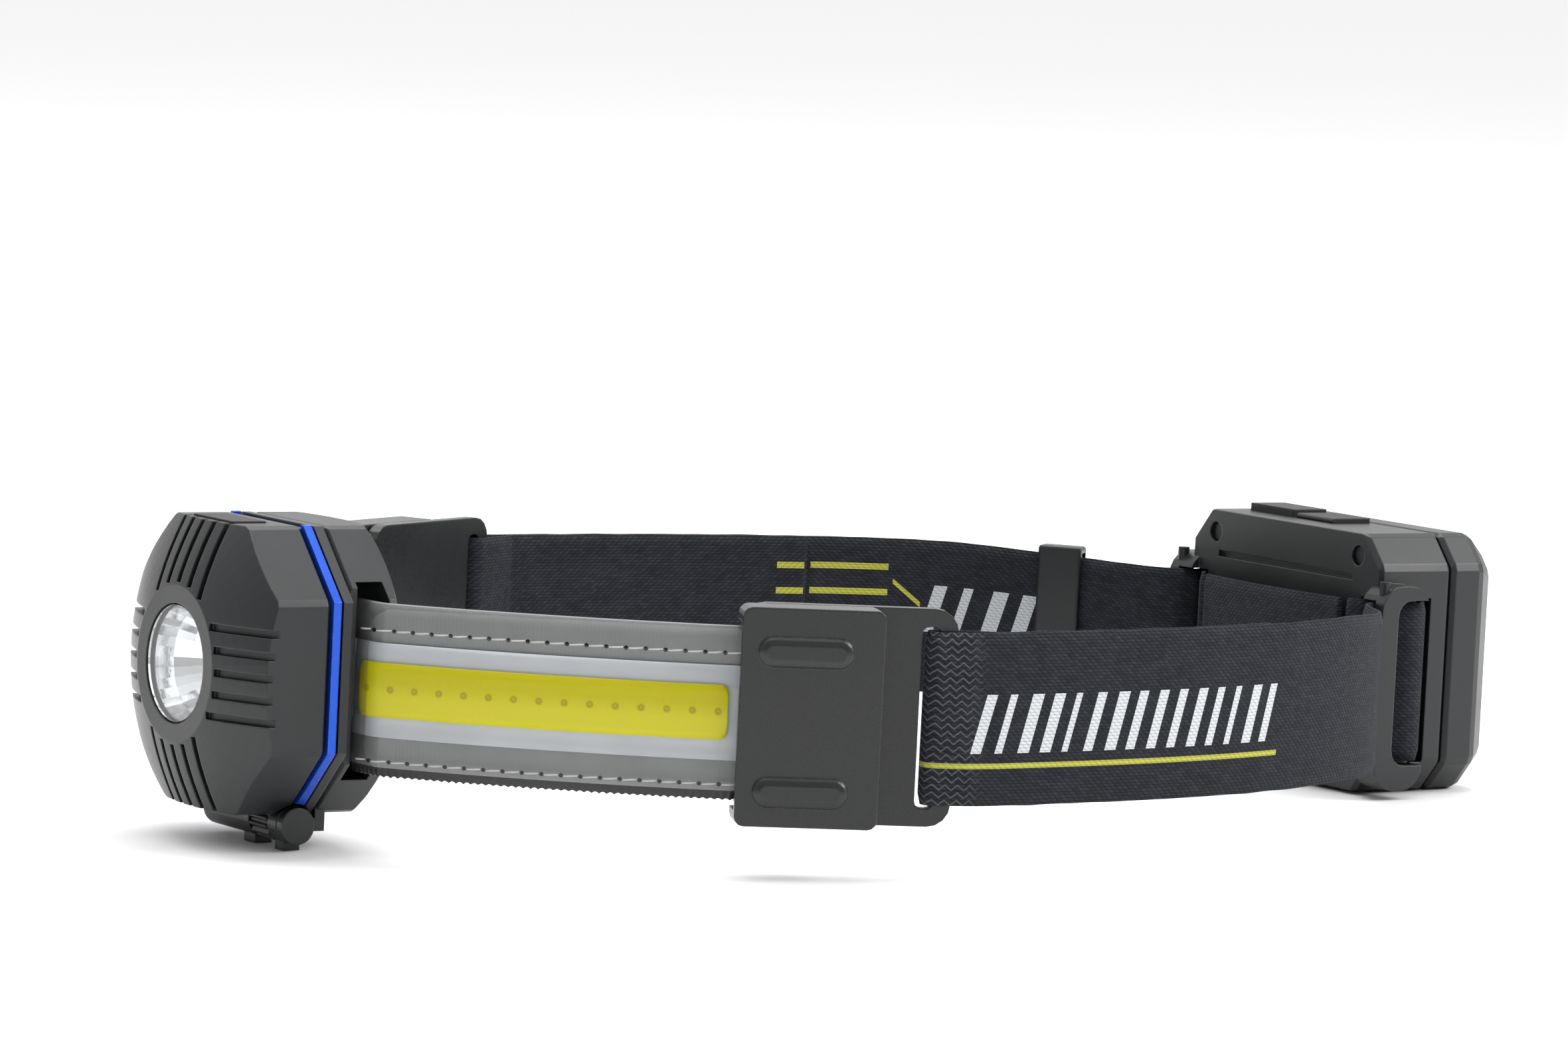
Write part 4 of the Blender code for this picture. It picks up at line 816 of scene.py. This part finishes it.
def make_pad():
    """Domed pad behind the lamp: two faces joined round a rim."""
    bm = bmesh.new()
    a, b = [LEVEL.inverted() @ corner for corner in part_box("forehead_pad")]
    middle = (a + b) / 2
    half_w, half_h = (b.x - a.x) / 2, (b.z - a.z) / 2
    depth = (b.y - a.y) / 2
    columns, rows = 28, 20
    sheets = []
    for face in (-1, 1):
        sheet = []
        for i in range(columns + 1):
            line = []
            for j in range(rows + 1):
                p, q = 2 * i / columns - 1, 2 * j / rows - 1
                x = p * math.sqrt(1 - q * q / 2.6)
                z = q * math.sqrt(1 - p * p / 2.6)
                crown = (1 - abs(p) ** 5) * (1 - abs(q) ** 5)
                out = depth * (0.45 + 0.5 * max(crown, 0) ** 0.4) * face
                line.append(bm.verts.new((middle.x + x * half_w, middle.y + out, middle.z + z * half_h)))
            sheet.append(line)
        sheets.append(sheet)
    for sheet in sheets:
        for i in range(columns):
            for j in range(rows):
                bm.faces.new((sheet[i][j], sheet[i + 1][j], sheet[i + 1][j + 1], sheet[i][j + 1]))
    rim = [(i, 0) for i in range(columns)] + [(columns, j) for j in range(rows)]
    rim += [(i, rows) for i in range(columns, 0, -1)] + [(0, j) for j in range(rows, 0, -1)]
    for k in range(len(rim)):
        (i, j), (m, n) = rim[k], rim[(k + 1) % len(rim)]
        bm.faces.new((sheets[0][i][j], sheets[0][m][n], sheets[1][m][n], sheets[1][i][j]))
    pad = new_piece("brow_pad", finish_mesh("brow_pad", bm), foam_material(), "headband")
    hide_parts("forehead_pad")


def foam_material():
    """Black looped cloth over foam, painted darker in the hollows between loops as painted shade."""
    material, shader, t = new_material("pad_foam")
    where = t.add("ShaderNodeTexCoord").outputs["Object"]
    loops = t.add("ShaderNodeTexVoronoi", {"Vector": where, "Scale": 1500}).outputs["Distance"]
    fibre = t.noise(where, 5000, 2)
    # The cloth is painted darker towards the rim of each loop: painted shade in the hollows between loops.
    t.put(t.mix(loops, colour(0.05, 0.05, 0.055), colour(0.012, 0.012, 0.013)), shader.inputs["Base Color"])
    shader.inputs["Roughness"].default_value = 0.95
    shader.inputs["Sheen Weight"].default_value = 0.3
    height = t.math("ADD", t.math("MULTIPLY", loops, -1.0), t.math("MULTIPLY", fibre, 0.3))
    t.put(t.bump(height, 0.0002), shader.inputs["Normal"])
    return material


# ---------------------------------------------------------------- finishes of the CAD nodes

def finish_nodes():
    """Give each CAD node that still shows its own finish."""
    housing = plastic("housing_black", (0.0095, 0.0105, 0.0118), (0.07, 0.075, 0.08), 0.36)
    lid = plastic("buckle_black", (0.0098, 0.0106, 0.0114), (0.09, 0.095, 0.10), 0.30)
    rubber = plastic("soft_rubber", (0.009, 0.009, 0.0095), (0.03, 0.03, 0.03), 0.55, 0.00002)
    blue = plastic("ring_blue", (0.012, 0.075, 0.52), (0.10, 0.26, 0.8), 0.26,
                   grain=0.000006, edge=0.0003, metallic=0.5)
    finishes = {
        housing: ["lamp_shell", "lamp_rear_cover", "bracket", "bracket_back_plate", "hinge_cap",
                  "battery_shell", "battery_cover", "strap_adjuster"],
        lid: ["buckle_lid_left", "buckle_lid_right", "buckle_plate_left", "buckle_plate_right"],
        rubber: ["mode_button", "power_button", "port_cover", "lens_seal", "box_gasket"],
        blue: ["colour_ring"],
        metal("bright_plate", (0.88, 0.89, 0.90), 0.09): ["reflector"],
        metal("steel", (0.55, 0.55, 0.56), 0.34): ["hinge_pin", "mode_switch", "power_switch", "charging_port"],
        metal("black_steel", (0.06, 0.06, 0.065), 0.4): [
            "lamp_screw_1", "lamp_screw_2", "lamp_screw_3", "lamp_screw_4",
            "battery_screw_1", "battery_screw_2", "battery_screw_3", "battery_screw_4"],
        metal("cast_alloy", (0.70, 0.71, 0.72), 0.42): ["heat_sink"],
        lens_material(): ["front_lens"],
        plastic("board_green", (0.012, 0.10, 0.035), (0.05, 0.2, 0.08), 0.4): ["led_board", "control_board"],
        plastic("chip_yellow", (0.62, 0.55, 0.06), (0.7, 0.65, 0.2), 0.35): ["led_chip"],
        plastic("cell_wrap", (0.30, 0.32, 0.35), (0.5, 0.5, 0.52), 0.35): ["battery_cell"],
    }
    for material, names in finishes.items():
        for name in names:
            for slot in NODES[name].material_slots:
                slot.link = "OBJECT"
                slot.material = material


make_camera()
make_studio()
finish_nodes()
make_bands()
make_bars()
make_pad()
